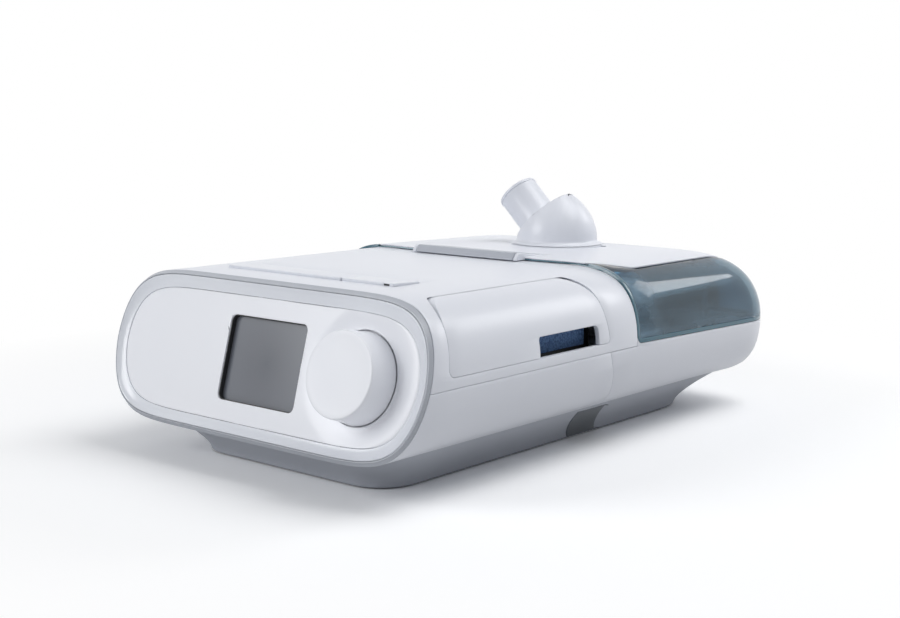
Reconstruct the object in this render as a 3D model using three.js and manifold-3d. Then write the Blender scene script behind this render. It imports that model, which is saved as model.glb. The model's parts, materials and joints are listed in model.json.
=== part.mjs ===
// Bedside breathing-therapy machine with a heated humidifier docked behind it.
// X runs across the machine, Y from the front panel to the rear, Z up. Lengths are in millimetres.
// The pieces are built with Y counted from the middle of the tilted front plane, and the group that
// holds them all is then moved so that its origin is under the middle of the whole machine.

import * as THREE from "three";
import { mergeVertices } from "three/addons/utils/BufferGeometryUtils.js";
import Module from "manifold-3d";

const wasm = await Module();
wasm.setup();

// Body section and length
const bodyHalfWidth = 96.5;
const bodyRiseUp = 33;
const bodyRiseDown = 34.5;
const sectionHeight = 51.3;
const bodyRear = 287.5;
const rearRound = 30;
const frontTilt = THREE.MathUtils.degToRad(15.5);
const widthPower = 8.9;
const upperPower = 2;
const lowerPower = 1.76;

// Walls, clearances and cuts
const shellWall = 2.4;
const gap = 0.3;
const overrun = 2;
const beyond = 400;
const weldDistance = 0.001;

// Seams between the shells
const seamDrop = 2.2;
const seamHeight = sectionHeight - seamDrop;
const lidSeam = 148;
const overhang = 22;
const dockSeam = lidSeam - overhang;
const dockSlope = 0.5;
const lidRimStep = 1.1;
const lidRimFront = seamHeight + lidRimStep;
const lidRimFall = 3.2;
const lidRimRear = lidRimFront - lidRimFall;

// Front bezel, trim and panel, as depths behind the front plane and half heights along it
const trimDepth = 2.3;
const trimFrontDepth = 0.2;
const trimBackWall = 1.5;
const trimFrontWall = 0.5;
const bezelSideStep = 0.3;
const bezelHalfWidth = bodyHalfWidth - bezelSideStep;
const bezelTopRise = 0.2;
const bezelRiseUp = bodyRiseUp + bezelTopRise;
const bezelLowStep = 0.6;
const bezelRiseDown = bodyRiseDown - bezelLowStep;
const bezelBackDepth = 7;
const panelSideBorder = 5.7;
const panelHalfWidth = bezelHalfWidth - panelSideBorder;
const panelTopBorder = 6.4;
const panelRiseUp = bezelRiseUp - panelTopBorder;
const panelLowBorder = 5.5;
const panelRiseDown = bezelRiseDown - panelLowBorder;
const panelDepth = 1.8;
const panelWall = 2.4;

// Display
const windowWidth = 46.7;
const windowHeight = 37;
const windowCorner = 3;
const windowS = -0.7;
const lensBorder = 3;
const lensThickness = 1.2;
const lcdThickness = 5.7;
const boardThickness = 1.6;
const displayBoardBorder = 16.5;
const displayBoardHalfWidth = panelHalfWidth - displayBoardBorder;
const displayBoardHalfHeight = 21;

// Control dial
const dialInset = 32.5;
const dialX = panelHalfWidth - dialInset;
const windowToDial = 55.9;
const windowX = dialX - windowToDial;
const dialFrontRadius = 18;
const dialBaseRadius = 19.2;
const dialFrontHeight = 9.5;
const dialEdgeRound = 1;
const dialDish = 0.4;
const dialWall = 2.2;
const dialTravel = 1.2;
const dialSeatRadius = 22.5;
const dialSeatDepth = 2.2;
const dialHubRadius = 5.2;
const shaftRadius = 3;
const shaftLength = 23;
const encoderHalfSize = 7;
const encoderFloor = 1;

// Top buttons
const barHalfWidth = 53;
const barFront = 31;
const barDepth = 17.5;
const barRise = 1.2;
const barRearRise = 0.6;
const barSkirt = 3.4;
const buttonSplit = 20.9;
const sensorSplit = 47.3;
const buttonTravel = 1;
const switchRadius = 3.2;
const switchHeight = 0.8;
const buttonBoardMargin = 4.5;
const bossRadius = 2.5;
const bossX = 40;

// Filter door, intake slot and filters on the right side
const doorFront = 15;
const doorRearStep = 0.5;
const doorRear = dockSeam - doorRearStep;
const doorToSeam = 4.5;
const doorBottom = seamHeight + doorToSeam;
const doorRise = 28.8;
const doorTop = doorBottom + doorRise;
const doorFrontLean = 6;
const doorRearLean = 3;
const doorLowCorner = 4;
const doorTopCorner = 8;
const doorSwingEase = 3;
const doorFoldInset = 23.1;
const doorFoldX = bodyHalfWidth - doorFoldInset;
const doorWall = 2.2;
const slotLength = 42;
const slotInset = 10.5;
const slotRear = doorRear - slotInset;
const slotFront = slotRear - slotLength;
const slotRise = 8.9;
const slotTop = doorBottom + slotRise;
const slotCorner = 2;
const filterInset = 9;
const filterOuterX = bodyHalfWidth - filterInset;
const filterFrameDepth = 9.5;
const filterFrameWall = 3;
const filterFrameRise = 17.4;
const filterFrameTop = doorBottom + filterFrameRise;
const filterFrameMargin = 6;
const pollenThickness = 4;
const fineThickness = 3.4;

// Card door, card and its socket on the left side
const cardDoorFront = 54;
const cardDoorRear = 86;
const cardDoorToSeam = 6.9;
const cardDoorBottom = seamHeight + cardDoorToSeam;
const cardDoorRise = 20;
const cardDoorTop = cardDoorBottom + cardDoorRise;
const cardWidth = 24;
const cardLength = 32;
const cardThickness = 2.1;
const cardInset = 6;
const cardOuterX = bodyHalfWidth - cardInset;
const cardRise = 8;
const cardHeight = cardDoorBottom + cardRise;
const socketWall = 2;
const socketSetBack = 4.5;
const socketHangerWidth = 4;

// Power inlet on the left side
const inletToSeam = 18;
const inletY = dockSeam - inletToSeam;
const inletDrop = 13.1;
const inletHeight = seamHeight - inletDrop;
const inletNoseRadius = 6;
const inletBodyRadius = 8.5;
const inletBoreRadius = 4;
const inletPinRadius = 1;
const inletInset = 3.5;
const inletNoseLength = 9.5;
const inletBodyLength = 11.5;
const inletFaceX = bodyHalfWidth - inletInset;
const inletShoulderX = inletFaceX - inletNoseLength;
const inletBackX = inletShoulderX - inletBodyLength;
const inletBoreDepth = 13;
const inletPinLength = 8.5;

// Plinth
const plinthInset = 17.5;
const plinthTopHalfWidth = bodyHalfWidth - plinthInset;
const plinthTopFront = -1;
const plinthRearInset = 10.5;
const plinthTopRear = bodyRear - plinthRearInset;
const plinthSideFlare = 20;
const plinthFootHalfWidth = plinthTopHalfWidth - plinthSideFlare;
const plinthFrontFlare = 19;
const plinthFootFront = plinthTopFront + plinthFrontFlare;
const plinthRearFlare = 15;
const plinthFootRear = plinthTopRear - plinthRearFlare;
const plinthFootCorner = 26;
const plinthTopCorner = 34;
const plinthBottom = 1.5;
const plinthWall = 2.5;
const plinthLip = 3;
const boardPostRadius = 3;

// Rubber feet and screws
const footRadius = 6;
const footRecess = 1;
const footInset = 17;
const footX = plinthFootHalfWidth - footInset;
const footFrontInset = 24;
const footFrontY = plinthFootFront + footFrontInset;
const footRearInset = 22;
const footRearY = plinthFootRear - footRearInset;
const screwHeadRadius = 3;
const screwRadius = 1.4;
const screwLength = 8;
const screwRecess = 1.2;

// Main board and blower
const scrollRadius = 36;
const blowerInset = 49;
const blowerX = blowerInset - plinthTopHalfWidth;
const blowerFrontShare = 0.492;
const blowerY = dockSeam * blowerFrontShare;
const mainBoardRoom = 4;
const mainBoardLeft = blowerX + scrollRadius + mainBoardRoom;
const mainBoardInset = 21;
const mainBoardRight = plinthTopHalfWidth - mainBoardInset;
const mainBoardFront = 30;
const mainBoardToSeam = 8;
const mainBoardRear = dockSeam - mainBoardToSeam;
const mainBoardHeight = 25.4;
const scrollBottom = 14.4;
const scrollHeight = 22;
const scrollWall = 2;
const blowerCoverThickness = 2.5;
const blowerInletRadius = 12;
const blowerInletCollar = 3;
const impellerRadius = 30;
const impellerPlate = 1.6;
const impellerBladeHeight = 9;
const impellerBladeThickness = 1.2;
const impellerBlades = 11;
const impellerHubRadius = 6.5;
const impellerClearance = 2;
const motorRadius = 15;
const motorShaftRadius = 2;
const bootInnerRadius = 20;
const bootWall = 5;
const foamHeight = 14;
const foamWall = 9;
const ductHalfWidth = 10;
const ductToSeam = 5.7;
const ductRise = 25.7;
const ductTop = sectionHeight + ductRise;
const ductWall = 2.2;
const ductPortDrop = 13;
const ductPortHeight = ductTop - ductPortDrop;
const ductPortRadius = 11;
const ductBoreRadius = 9;
const portSealWall = 3;

// Humidifier
const shelfHeight = seamHeight - gap / 2;
const tankSideInset = 24.5;
const tankHalfWidth = bodyHalfWidth - tankSideInset;
const tankToSeam = 16;
const tankFront = lidSeam + tankToSeam;
const tankRearInset = 23.5;
const tankRear = bodyRear - tankRearInset;
const tankCorner = 18;
const tankBottom = 26;
const tankRise = 12.7;
const tankTop = sectionHeight + tankRise;
const tankWall = 1.8;
const tankSealThickness = 1.4;
const tankLidThickness = 5;
const tankPortRadius = 10;
const plateSideMargin = 22;
const plateHalfWidth = tankHalfWidth - plateSideMargin;
const plateMargin = 14;
const plateThickness = 2.2;
const plateCorner = 10;
const plateTravel = 1.5;
const heaterThickness = 2;
const tankPostRadius = 4;
const tankPostSideInset = 10;
const tankPostX = tankHalfWidth - tankPostSideInset;
const tankPostInset = 14;
const dryBoxHalfWidth = 19;
const dryBoxRise = 1;
const dryBoxTop = ductTop + dryBoxRise;
const dryBoxWall = 2;

// Lid
const lidCrown = 1.7;
const glassWall = 3;
const coverWall = 2.2;
const underFrameTop = 2.5;
const underFrameBottom = 4.4;
const underFrameOverlap = 3;
const coverFrontInset = 30.5;
const coverFrontHalfWidth = bodyHalfWidth - coverFrontInset;
const coverKinkInset = 17.5;
const coverKinkHalfWidth = bodyHalfWidth - coverKinkInset;
const coverRearInset = 15;
const coverRearHalfWidth = bodyHalfWidth - coverRearInset;
const coverKinkToSeam = 19;
const coverKinkY = lidSeam + coverKinkToSeam;
const coverShoulderInset = 41.5;
const coverShoulderY = bodyRear - coverShoulderInset;
const coverCornerRound = 8;
const spineInset = 36.5;
const spineHalfWidth = bodyHalfWidth - spineInset;
const spineShoulderInset = 15.5;
const spineShoulderY = bodyRear - spineShoulderInset;
const flangeDepth = 2.4;
const flangeHeight = 8;
const latchHalfWidth = 31;
const latchOverhang = 8;
const latchFront = lidSeam - latchOverhang;
const latchToSeam = 12.5;
const latchRear = lidSeam + latchToSeam;
const latchRise = 3.8;
const latchNose = 3;
const hingeRadius = 2.4;
const hingePinRadius = 1.1;
const hingeStandOff = 1.1;
const hingeInset = 66.5;
const hingeInnerX = bodyHalfWidth - hingeInset;
const hingeKnuckle = 10;
const hingeMiddle = 16;
const hingeWeb = 4;

// Outlet elbow
const elbowToSeam = 69;
const elbowY = lidSeam + elbowToSeam;
const collarRadius = 24.35;
const collarThickness = 1;
const elbowFootRadius = 24;
const elbowFootRise = 2.4;
const domeRadius = 21.7;
const domeBaseRise = 3.7;
const domeCentreHeight = sectionHeight + bodyRiseUp + domeBaseRise;
const domeRise = 27.5;
const domePower = 0.78;
const hoodFace = 14.1;
const spoutRadius = 11;
const spoutBoreRadius = 9.3;
const spoutOriginDrop = 1;
const spoutOriginHeight = domeCentreHeight - spoutOriginDrop;
const spoutStart = 13.5;
const spoutLength = 39.2;
const spoutRim = 1.2;
const neckRadius = 12;
const neckBoreRadius = 9.5;
const neckDrop = 10;
const neckBoreRise = 9;
const sealWall = 5;

// Docking latch in the plinth's right side
const dockLatchDrop = 33.8;
const dockLatchTop = sectionHeight - dockLatchDrop;
const dockLatchBottom = 2.6;
const dockLatchToSeam = 5.5;
const dockLatchFront = dockSeam + dockLatchToSeam;
const dockLatchWidth = 23;
const dockLatchLean = 12.5;
const dockLatchThickness = 5;
const dockLatchInset = 7;
const dockLatchInnerX = plinthFootHalfWidth - dockLatchInset;

// Counts of facets
const quadrantSteps = 10;
const crowding = 2;
const rearSteps = 4;
const arcSteps = 4;
const roundSteps = 16;
const fineSteps = 30;
const domeSteps = 9;

// Finishes
const finish = (color, roughness, metalness = 0) =>
  new THREE.MeshStandardMaterial({ color, roughness, metalness });
const whitePlastic = finish(0xe4e7ef, 0.38);
const greyPlastic = finish(0x747982, 0.5);
const darkPlastic = finish(0x4a4d50, 0.55);
const latchGrey = finish(0xb5b9c1, 0.4);
const blackPlastic = finish(0x1c1e21, 0.5);
const screenGlass = finish(0x70757e, 0.15);
const smokyPlastic = new THREE.MeshStandardMaterial({
  color: 0x4f5d68,
  roughness: 0.08,
  transparent: true,
  opacity: 0.6,
});
const clearPlastic = new THREE.MeshStandardMaterial({
  color: 0xcfdbe2,
  roughness: 0.1,
  transparent: true,
  opacity: 0.4,
});
const circuitGreen = finish(0x1f5a3c, 0.6);
const rubber = finish(0x2c2e30, 0.85);
const silicone = finish(0x9aa3ad, 0.7);
const blueFoam = finish(0x33486a, 0.95);
const whiteFelt = finish(0xe9ebe6, 0.95);
const foamGrey = finish(0x3c3f43, 0.98);
const steel = finish(0xb9bcc0, 0.3, 1);
const aluminium = finish(0xc4c7ca, 0.35, 1);

// Helpers: solids from geometries

const halfGap = gap / 2;
const tiltTangent = Math.tan(frontTilt);
const tiltCosine = Math.cos(frontTilt);

function toSolid(geometry) {
  const bare = geometry.clone();
  for (const name of Object.keys(bare.attributes)) {
    if (name !== "position") bare.deleteAttribute(name);
  }
  const merged = mergeVertices(bare, weldDistance);
  const corners = merged.index.array;
  const kept = [];
  for (let i = 0; i < corners.length; i += 3) {
    const [a, b, c] = [corners[i], corners[i + 1], corners[i + 2]];
    if (a !== b && b !== c && c !== a) kept.push(a, b, c);
  }
  const vertProperties = new Float32Array(merged.attributes.position.array);
  const triVerts = new Uint32Array(kept);
  return new wasm.Manifold(new wasm.Mesh({ numProp: 3, vertProperties, triVerts }));
}

function toMesh(name, solid, material) {
  const made = solid.getMesh();
  const geometry = new THREE.BufferGeometry();
  geometry.setAttribute("position", new THREE.BufferAttribute(made.vertProperties, 3));
  geometry.setIndex(new THREE.BufferAttribute(made.triVerts, 1));
  geometry.computeVertexNormals();
  const mesh = new THREE.Mesh(geometry, material);
  mesh.name = name;
  return mesh;
}

function union(solids) {
  return solids.reduce((joined, next) => joined.add(next));
}

// A box between two corners.
function block(low, high) {
  const [width, depth, height] = high.map((value, i) => value - low[i]);
  const geometry = new THREE.BoxGeometry(width, depth, height);
  const [x, y, z] = low.map((value, i) => (value + high[i]) / 2);
  return toSolid(geometry.translate(x, y, z));
}

// A round bar between two points.
function bar(radius, from, to, steps = roundSteps) {
  const start = new THREE.Vector3(...from);
  const span = new THREE.Vector3(...to).sub(start);
  const geometry = new THREE.CylinderGeometry(radius, radius, span.length(), steps);
  geometry.translate(0, span.length() / 2, 0);
  const turn = new THREE.Quaternion().setFromUnitVectors(new THREE.Vector3(0, 1, 0), span.normalize());
  geometry.applyQuaternion(turn);
  return toSolid(geometry.translate(start.x, start.y, start.z));
}

function post(radius, [x, y], low, high, steps = roundSteps) {
  return bar(radius, [x, y, low], [x, y, high], steps);
}

// A solid of revolution about a vertical line, from [radius, height] pairs.
function turned(profile, [x, y], steps = fineSteps) {
  const points = profile.map(([radius, height]) => new THREE.Vector2(radius, height));
  const geometry = new THREE.LatheGeometry(points, steps);
  geometry.rotateX(Math.PI / 2);
  return toSolid(geometry.translate(x, y, 0));
}

// The points of a polygon whose corners [u, v, radius] are rounded with arcs.
function roundedOutline(corners) {
  return corners.flatMap(([u, v, radius = 0], i) => {
    const here = new THREE.Vector2(u, v);
    if (radius === 0) return [here];
    const before = corners[(i + corners.length - 1) % corners.length];
    const after = corners[(i + 1) % corners.length];
    const back = new THREE.Vector2(before[0], before[1]).sub(here).normalize();
    const ahead = new THREE.Vector2(after[0], after[1]).sub(here).normalize();
    const half = back.angleTo(ahead) / 2;
    const start = here.clone().addScaledVector(back, radius / Math.tan(half));
    const inward = back.clone().add(ahead).normalize();
    const middle = here.clone().addScaledVector(inward, radius / Math.sin(half));
    const spoke = start.clone().sub(middle);
    const sweep = (Math.PI - 2 * half) * Math.sign(ahead.cross(back));
    const steps = Array.from({ length: arcSteps + 1 }, (_, k) => (k / arcSteps) * sweep);
    return steps.map((angle) => middle.clone().add(spoke.clone().rotateAround(new THREE.Vector2(), angle)));
  });
}

// A prism of an outline. The axis is the one that it is pushed along.
function prism(outline, axis, low, high) {
  const geometry = new THREE.ExtrudeGeometry(new THREE.Shape(outline), {
    depth: high - low,
    bevelEnabled: false,
  });
  const [x, y, z] = [
    new THREE.Vector3(1, 0, 0),
    new THREE.Vector3(0, 1, 0),
    new THREE.Vector3(0, 0, 1),
  ];
  const turn = new THREE.Matrix4();
  if (axis === "x") turn.makeBasis(y, z, x).setPosition(low, 0, 0);
  if (axis === "y") turn.makeBasis(x, z, y.clone().negate()).setPosition(0, high, 0);
  if (axis === "z") turn.setPosition(0, 0, low);
  return toSolid(geometry.applyMatrix4(turn));
}

// The skin between rings of points, closed by flat ends, or into a loop where it has none.
function skin(rings, closed) {
  const count = rings[0].length;
  const positions = rings.flat().flatMap((point) => point.toArray());
  const index = [];
  const bands = closed ? rings.length : rings.length - 1;
  for (let ring = 0; ring < bands; ring += 1) {
    const here = ring * count;
    const next = ((ring + 1) % rings.length) * count;
    for (let i = 0; i < count; i += 1) {
      const j = (i + 1) % count;
      index.push(here + i, here + j, next + j, here + i, next + j, next + i);
    }
  }
  if (!closed) {
    [0, rings.length - 1].forEach((ring, end) => {
      const middle = new THREE.Vector3();
      rings[ring].forEach((point) => middle.addScaledVector(point, 1 / count));
      const hub = positions.length / 3;
      positions.push(...middle.toArray());
      for (let i = 0; i < count; i += 1) {
        const pair = [ring * count + i, ring * count + ((i + 1) % count)];
        index.push(hub, ...(end ? pair : pair.reverse()));
      }
    });
  }
  const geometry = new THREE.BufferGeometry();
  geometry.setAttribute("position", new THREE.Float32BufferAttribute(positions, 3));
  if (signedVolume(positions, index) < 0) index.reverse();
  geometry.setIndex(index);
  return toSolid(geometry);
}

function signedVolume(positions, index) {
  const corner = (i) => new THREE.Vector3().fromArray(positions, 3 * index[i]);
  let total = 0;
  for (let i = 0; i < index.length; i += 3) {
    total += corner(i).dot(corner(i + 1).cross(corner(i + 2)));
  }
  return total;
}

// Helpers: the body's section

// Points round the section, crowded towards the flat top and bottom.
function sectionPoints(halfWidth, up, down) {
  const points = [];
  for (let quadrant = 0; quadrant < 4; quadrant += 1) {
    for (let step = 0; step < quadrantSteps; step += 1) {
      const along = step / quadrantSteps;
      const share = quadrant % 2 === 0 ? 1 - (1 - along) ** crowding : along ** crowding;
      const angle = ((quadrant + share) * Math.PI) / 2;
      const [cosine, sine] = [Math.cos(angle), Math.sin(angle)];
      const power = sine >= 0 ? upperPower : lowerPower;
      const rise = sine >= 0 ? up : down;
      const across = halfWidth * Math.sign(cosine) * Math.abs(cosine) ** (2 / widthPower);
      points.push([across, rise * Math.sign(sine) * Math.abs(sine) ** (2 / power)]);
    }
  }
  return points;
}

// The whole body's outer form, drawn in by an inset, from a depth behind the front plane to the rear.
function bodyForm(inset, startDepth, crown = 0) {
  const halfWidth = bodyHalfWidth - inset;
  const up = bodyRiseUp + crown - inset;
  const down = bodyRiseDown - inset;
  const front = sectionPoints(halfWidth, up, down).map(
    ([x, z]) => new THREE.Vector3(x, z * tiltTangent + startDepth / tiltCosine, z + sectionHeight),
  );
  const rings = [front];
  const round = rearRound - inset;
  for (let step = 0; step <= rearSteps; step += 1) {
    const angle = ((step / rearSteps) * Math.PI) / 2;
    const drawn = round * (1 - Math.cos(angle));
    const y = bodyRear - rearRound + round * Math.sin(angle);
    const ring = sectionPoints(halfWidth - drawn, up - drawn, down - drawn);
    rings.push(ring.map(([x, z]) => new THREE.Vector3(x, y, z + sectionHeight)));
  }
  return skin(rings, false);
}

// Height of the body's underside at a place in plan.
function undersideHeight(x, y) {
  const past = Math.max(0, y - (bodyRear - rearRound));
  const drawn = rearRound - Math.sqrt(rearRound ** 2 - past ** 2);
  const share = (1 - Math.abs(x / (bodyHalfWidth - drawn)) ** widthPower) ** (1 / lowerPower);
  return sectionHeight - (bodyRiseDown - drawn) * share;
}

// Distance from the middle to the body's side at a height.
function sideDistance(height, inset = 0) {
  const rise = height >= sectionHeight ? bodyRiseUp : bodyRiseDown;
  const power = height >= sectionHeight ? upperPower : lowerPower;
  const share = (Math.abs(height - sectionHeight) / (rise - inset)) ** power;
  return (bodyHalfWidth - inset) * (1 - share) ** (1 / widthPower);
}

// Y of the slanted seam between the two lower shells.
function dockSeamAt(height) {
  return dockSeam + (seamHeight - height) * dockSlope;
}

// Everything in front of the slanted seam, up to the seam between upper and lower shells, or behind it.
function dockSide(offset, behind) {
  const far = behind ? beyond : -beyond;
  const low = -overrun;
  const top = seamHeight - halfGap;
  const outline = [
    new THREE.Vector2(far, low),
    new THREE.Vector2(dockSeamAt(low) + offset, low),
    new THREE.Vector2(dockSeamAt(top) + offset, top),
    new THREE.Vector2(far, top),
  ];
  return prism(outline, "x", -beyond, beyond);
}

const housingDepth = trimDepth + gap;
const outerForm = bodyForm(0, housingDepth);
const innerForm = bodyForm(shellWall, housingDepth - overrun);
const bodyShell = outerForm.subtract(innerForm);
const fittedForm = bodyForm(shellWall + gap, housingDepth - overrun);
const bodyTop = sectionHeight + bodyRiseUp;
const lidTop = bodyTop + lidCrown;

// Front panel: local X across, Y up along the slanted plane, Z out of it

const frontGroup = new THREE.Group();
frontGroup.position.set(0, 0, sectionHeight);
frontGroup.rotation.x = Math.PI / 2 - frontTilt;

// A ring of the panel's outline. Behind the plane it slides up the plane with the level body.
function panelRing(halfWidth, up, down, depth, follows = true) {
  const shift = follows ? depth * tiltTangent : 0;
  return sectionPoints(halfWidth, up, down).map(([x, s]) => new THREE.Vector3(x, s + shift, -depth));
}

function bodyRing(inset, depth) {
  const up = (bodyRiseUp - inset) / tiltCosine;
  const down = (bodyRiseDown - inset) / tiltCosine;
  return panelRing(bodyHalfWidth - inset, up, down, depth);
}

function bezelRing(inset, depth) {
  return panelRing(bezelHalfWidth - inset, bezelRiseUp - inset, bezelRiseDown - inset, depth, false);
}

function seamRing(inset, depth) {
  return panelRing(panelHalfWidth - inset, panelRiseUp - inset, panelRiseDown - inset, depth, false);
}

function bezelTrim() {
  return skin(
    [
      bodyRing(0, trimDepth),
      bezelRing(0, trimFrontDepth),
      bezelRing(trimFrontWall, trimFrontDepth),
      bodyRing(trimBackWall, trimDepth),
    ],
    true,
  );
}

function frontBezel() {
  const tuck = shellWall + gap;
  return skin(
    [
      bezelRing(trimFrontWall + gap, 0),
      seamRing(-halfGap, panelDepth),
      seamRing(-halfGap, bezelBackDepth),
      bodyRing(tuck, bezelBackDepth),
      bodyRing(tuck, trimDepth),
      bodyRing(trimBackWall + gap, trimDepth),
    ],
    true,
  );
}

const panelBack = panelDepth + panelWall;
const dialSeatFloor = panelDepth + dialSeatDepth;
const dialCupBack = dialSeatFloor + panelWall;

function windowOutline(margin, corner) {
  const right = windowX + windowWidth / 2 + margin;
  const left = windowX - windowWidth / 2 - margin;
  const top = windowS + windowHeight / 2 + margin;
  const bottom = windowS - windowHeight / 2 - margin;
  return roundedOutline([
    [left, bottom, corner],
    [right, bottom, corner],
    [right, top, corner],
    [left, top, corner],
  ]);
}

function frontPanel() {
  const plate = skin([seamRing(halfGap, panelBack), seamRing(halfGap, panelDepth)], false);
  const cup = post(dialSeatRadius + panelWall, [dialX, 0], -dialCupBack, -panelDepth - halfGap, fineSteps);
  const seat = post(dialSeatRadius, [dialX, 0], -dialSeatFloor, overrun, fineSteps);
  const shaftHole = post(shaftRadius + gap, [dialX, 0], -dialCupBack - overrun, 0);
  const opening = prism(windowOutline(0, windowCorner), "z", -panelBack - overrun, 0);
  return plate.add(cup).subtract(seat).subtract(shaftHole).subtract(opening);
}

const lensFront = panelBack + gap;
const lensBack = lensFront + lensThickness;
const lcdFront = lensBack + gap;
const lcdBack = lcdFront + lcdThickness;
const displayBoardFront = lcdBack + gap;
const displayBoardBack = displayBoardFront + boardThickness;

function displayLens() {
  return prism(windowOutline(lensBorder, windowCorner), "z", -lensBack, -lensFront);
}

function lcdModule() {
  return prism(windowOutline(lensBorder, windowCorner), "z", -lcdBack, -lcdFront);
}

function displayBoard() {
  const plate = block(
    [-displayBoardHalfWidth, -displayBoardHalfHeight, -displayBoardBack],
    [displayBoardHalfWidth, displayBoardHalfHeight, -displayBoardFront],
  );
  const pillarX = 2 * bossRadius - displayBoardHalfWidth;
  const pillarS = displayBoardHalfHeight - 2 * bossRadius;
  const pillars = [-pillarS, pillarS].map((s) =>
    post(bossRadius, [pillarX, s], -displayBoardFront - halfGap, -panelBack - gap),
  );
  const shaftHole = post(shaftRadius + gap, [dialX, 0], -displayBoardBack - overrun, 0);
  return union([plate, ...pillars]).subtract(shaftHole);
}

const dialBottom = -dialSeatFloor + dialTravel + gap;
const dialCavityTop = dialFrontHeight - dialDish - dialWall;
const shaftTop = dialCavityTop - dialWall + dialTravel;

function controlDial() {
  const wallInner = dialBaseRadius - dialWall;
  const profile = [
    [0, dialFrontHeight - dialDish],
    [dialFrontRadius - 2 * dialEdgeRound, dialFrontHeight - dialDish / 2],
    [dialFrontRadius - dialEdgeRound, dialFrontHeight],
    [dialFrontRadius - dialEdgeRound / 3, dialFrontHeight - dialEdgeRound / 3],
    [dialFrontRadius, dialFrontHeight - dialEdgeRound],
    [dialBaseRadius, dialBottom],
    [wallInner, dialBottom],
    [dialFrontRadius - dialWall, dialCavityTop],
    [dialHubRadius, dialCavityTop],
    [dialHubRadius, dialBottom],
    [shaftRadius + gap, dialBottom],
    [shaftRadius + gap, shaftTop + gap],
    [0, shaftTop + gap],
  ];
  return turned(profile.reverse(), [dialX, 0]);
}

const encoderTop = -displayBoardBack - gap;

function dialShaft() {
  return post(shaftRadius, [dialX, 0], shaftTop - shaftLength, shaftTop);
}

function dialEncoder() {
  const socketFloor = shaftTop - shaftLength - dialTravel - gap;
  const can = block(
    [dialX - encoderHalfSize, -encoderHalfSize, socketFloor - encoderFloor],
    [dialX + encoderHalfSize, encoderHalfSize, encoderTop],
  );
  return can.subtract(post(shaftRadius + gap, [dialX, 0], socketFloor, 0));
}

frontGroup.add(
  toMesh("bezel_trim", bezelTrim(), greyPlastic),
  toMesh("front_bezel", frontBezel(), whitePlastic),
  toMesh("front_panel", frontPanel(), whitePlastic),
  toMesh("display_lens", displayLens(), screenGlass),
  toMesh("lcd_module", lcdModule(), blackPlastic),
  toMesh("display_board", displayBoard(), circuitGreen),
  toMesh("control_dial", controlDial(), whitePlastic),
  toMesh("dial_shaft", dialShaft(), steel),
  toMesh("dial_encoder", dialEncoder(), blackPlastic),
);

// Therapy unit shells

// The filter door's outline seen from the side, grown by a margin.
// The door's own top corners are rounder than its opening's, so they clear it as the door swings.
function doorOutline(margin, topCorner) {
  return roundedOutline([
    [doorFront - margin, doorBottom - margin, doorLowCorner],
    [doorRear + margin, doorBottom - margin, doorLowCorner],
    [doorRear - doorRearLean + margin, doorTop + margin, topCorner],
    [doorFront + doorFrontLean - margin, doorTop + margin, topCorner],
  ]);
}

function cardDoorOutline(margin) {
  return roundedOutline([
    [cardDoorFront - margin, cardDoorBottom - margin, doorLowCorner],
    [cardDoorRear + margin, cardDoorBottom - margin, doorLowCorner],
    [cardDoorRear + margin, cardDoorTop + margin, doorLowCorner],
    [cardDoorFront - margin, cardDoorTop + margin, doorLowCorner],
  ]);
}

const barRear = barFront + barDepth;
const boardTop = bodyTop - barSkirt - buttonTravel - gap - switchHeight - gap;

function upperHousing() {
  const region = block([-beyond, -beyond, seamHeight + halfGap], [beyond, lidSeam - halfGap, beyond]);
  const doorHole = prism(doorOutline(halfGap, doorTopCorner), "x", doorFoldX - halfGap, beyond);
  const cardHole = prism(cardDoorOutline(halfGap), "x", -beyond, -bodyHalfWidth / 2);
  const barHole = block(
    [-barHalfWidth - gap, barFront - gap, sectionHeight],
    [barHalfWidth + gap, barRear + gap, beyond],
  );
  const bosses = [-bossX, bossX].flatMap((x) =>
    [barFront - gap - bossRadius - gap, barRear + gap + bossRadius + gap].map((y) =>
      post(bossRadius, [x, y], boardTop + gap, bodyTop - shellWall / 2),
    ),
  );
  const shell = bodyShell.intersect(region).add(union(bosses));
  return shell.subtract(doorHole).subtract(cardHole).subtract(barHole);
}

function plinthOutline(margin) {
  const halfWidth = plinthTopHalfWidth + margin;
  const corner = plinthTopCorner + margin;
  return roundedOutline([
    [-halfWidth, plinthTopFront - margin, corner],
    [halfWidth, plinthTopFront - margin, corner],
    [halfWidth, plinthTopRear + margin, corner],
    [-halfWidth, plinthTopRear + margin, corner],
  ]);
}

// The hole in the body's underside that the plinth closes.
const plinthHole = prism(plinthOutline(0), "z", 0, seamHeight - 2 * shellWall);

function inletNoseHole() {
  return bar(inletNoseRadius + gap, [-beyond, inletY, inletHeight], [-inletBackX, inletY, inletHeight]);
}

function lowerHousing() {
  return bodyShell.intersect(dockSide(-halfGap, false)).subtract(plinthHole).subtract(inletNoseHole());
}

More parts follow.
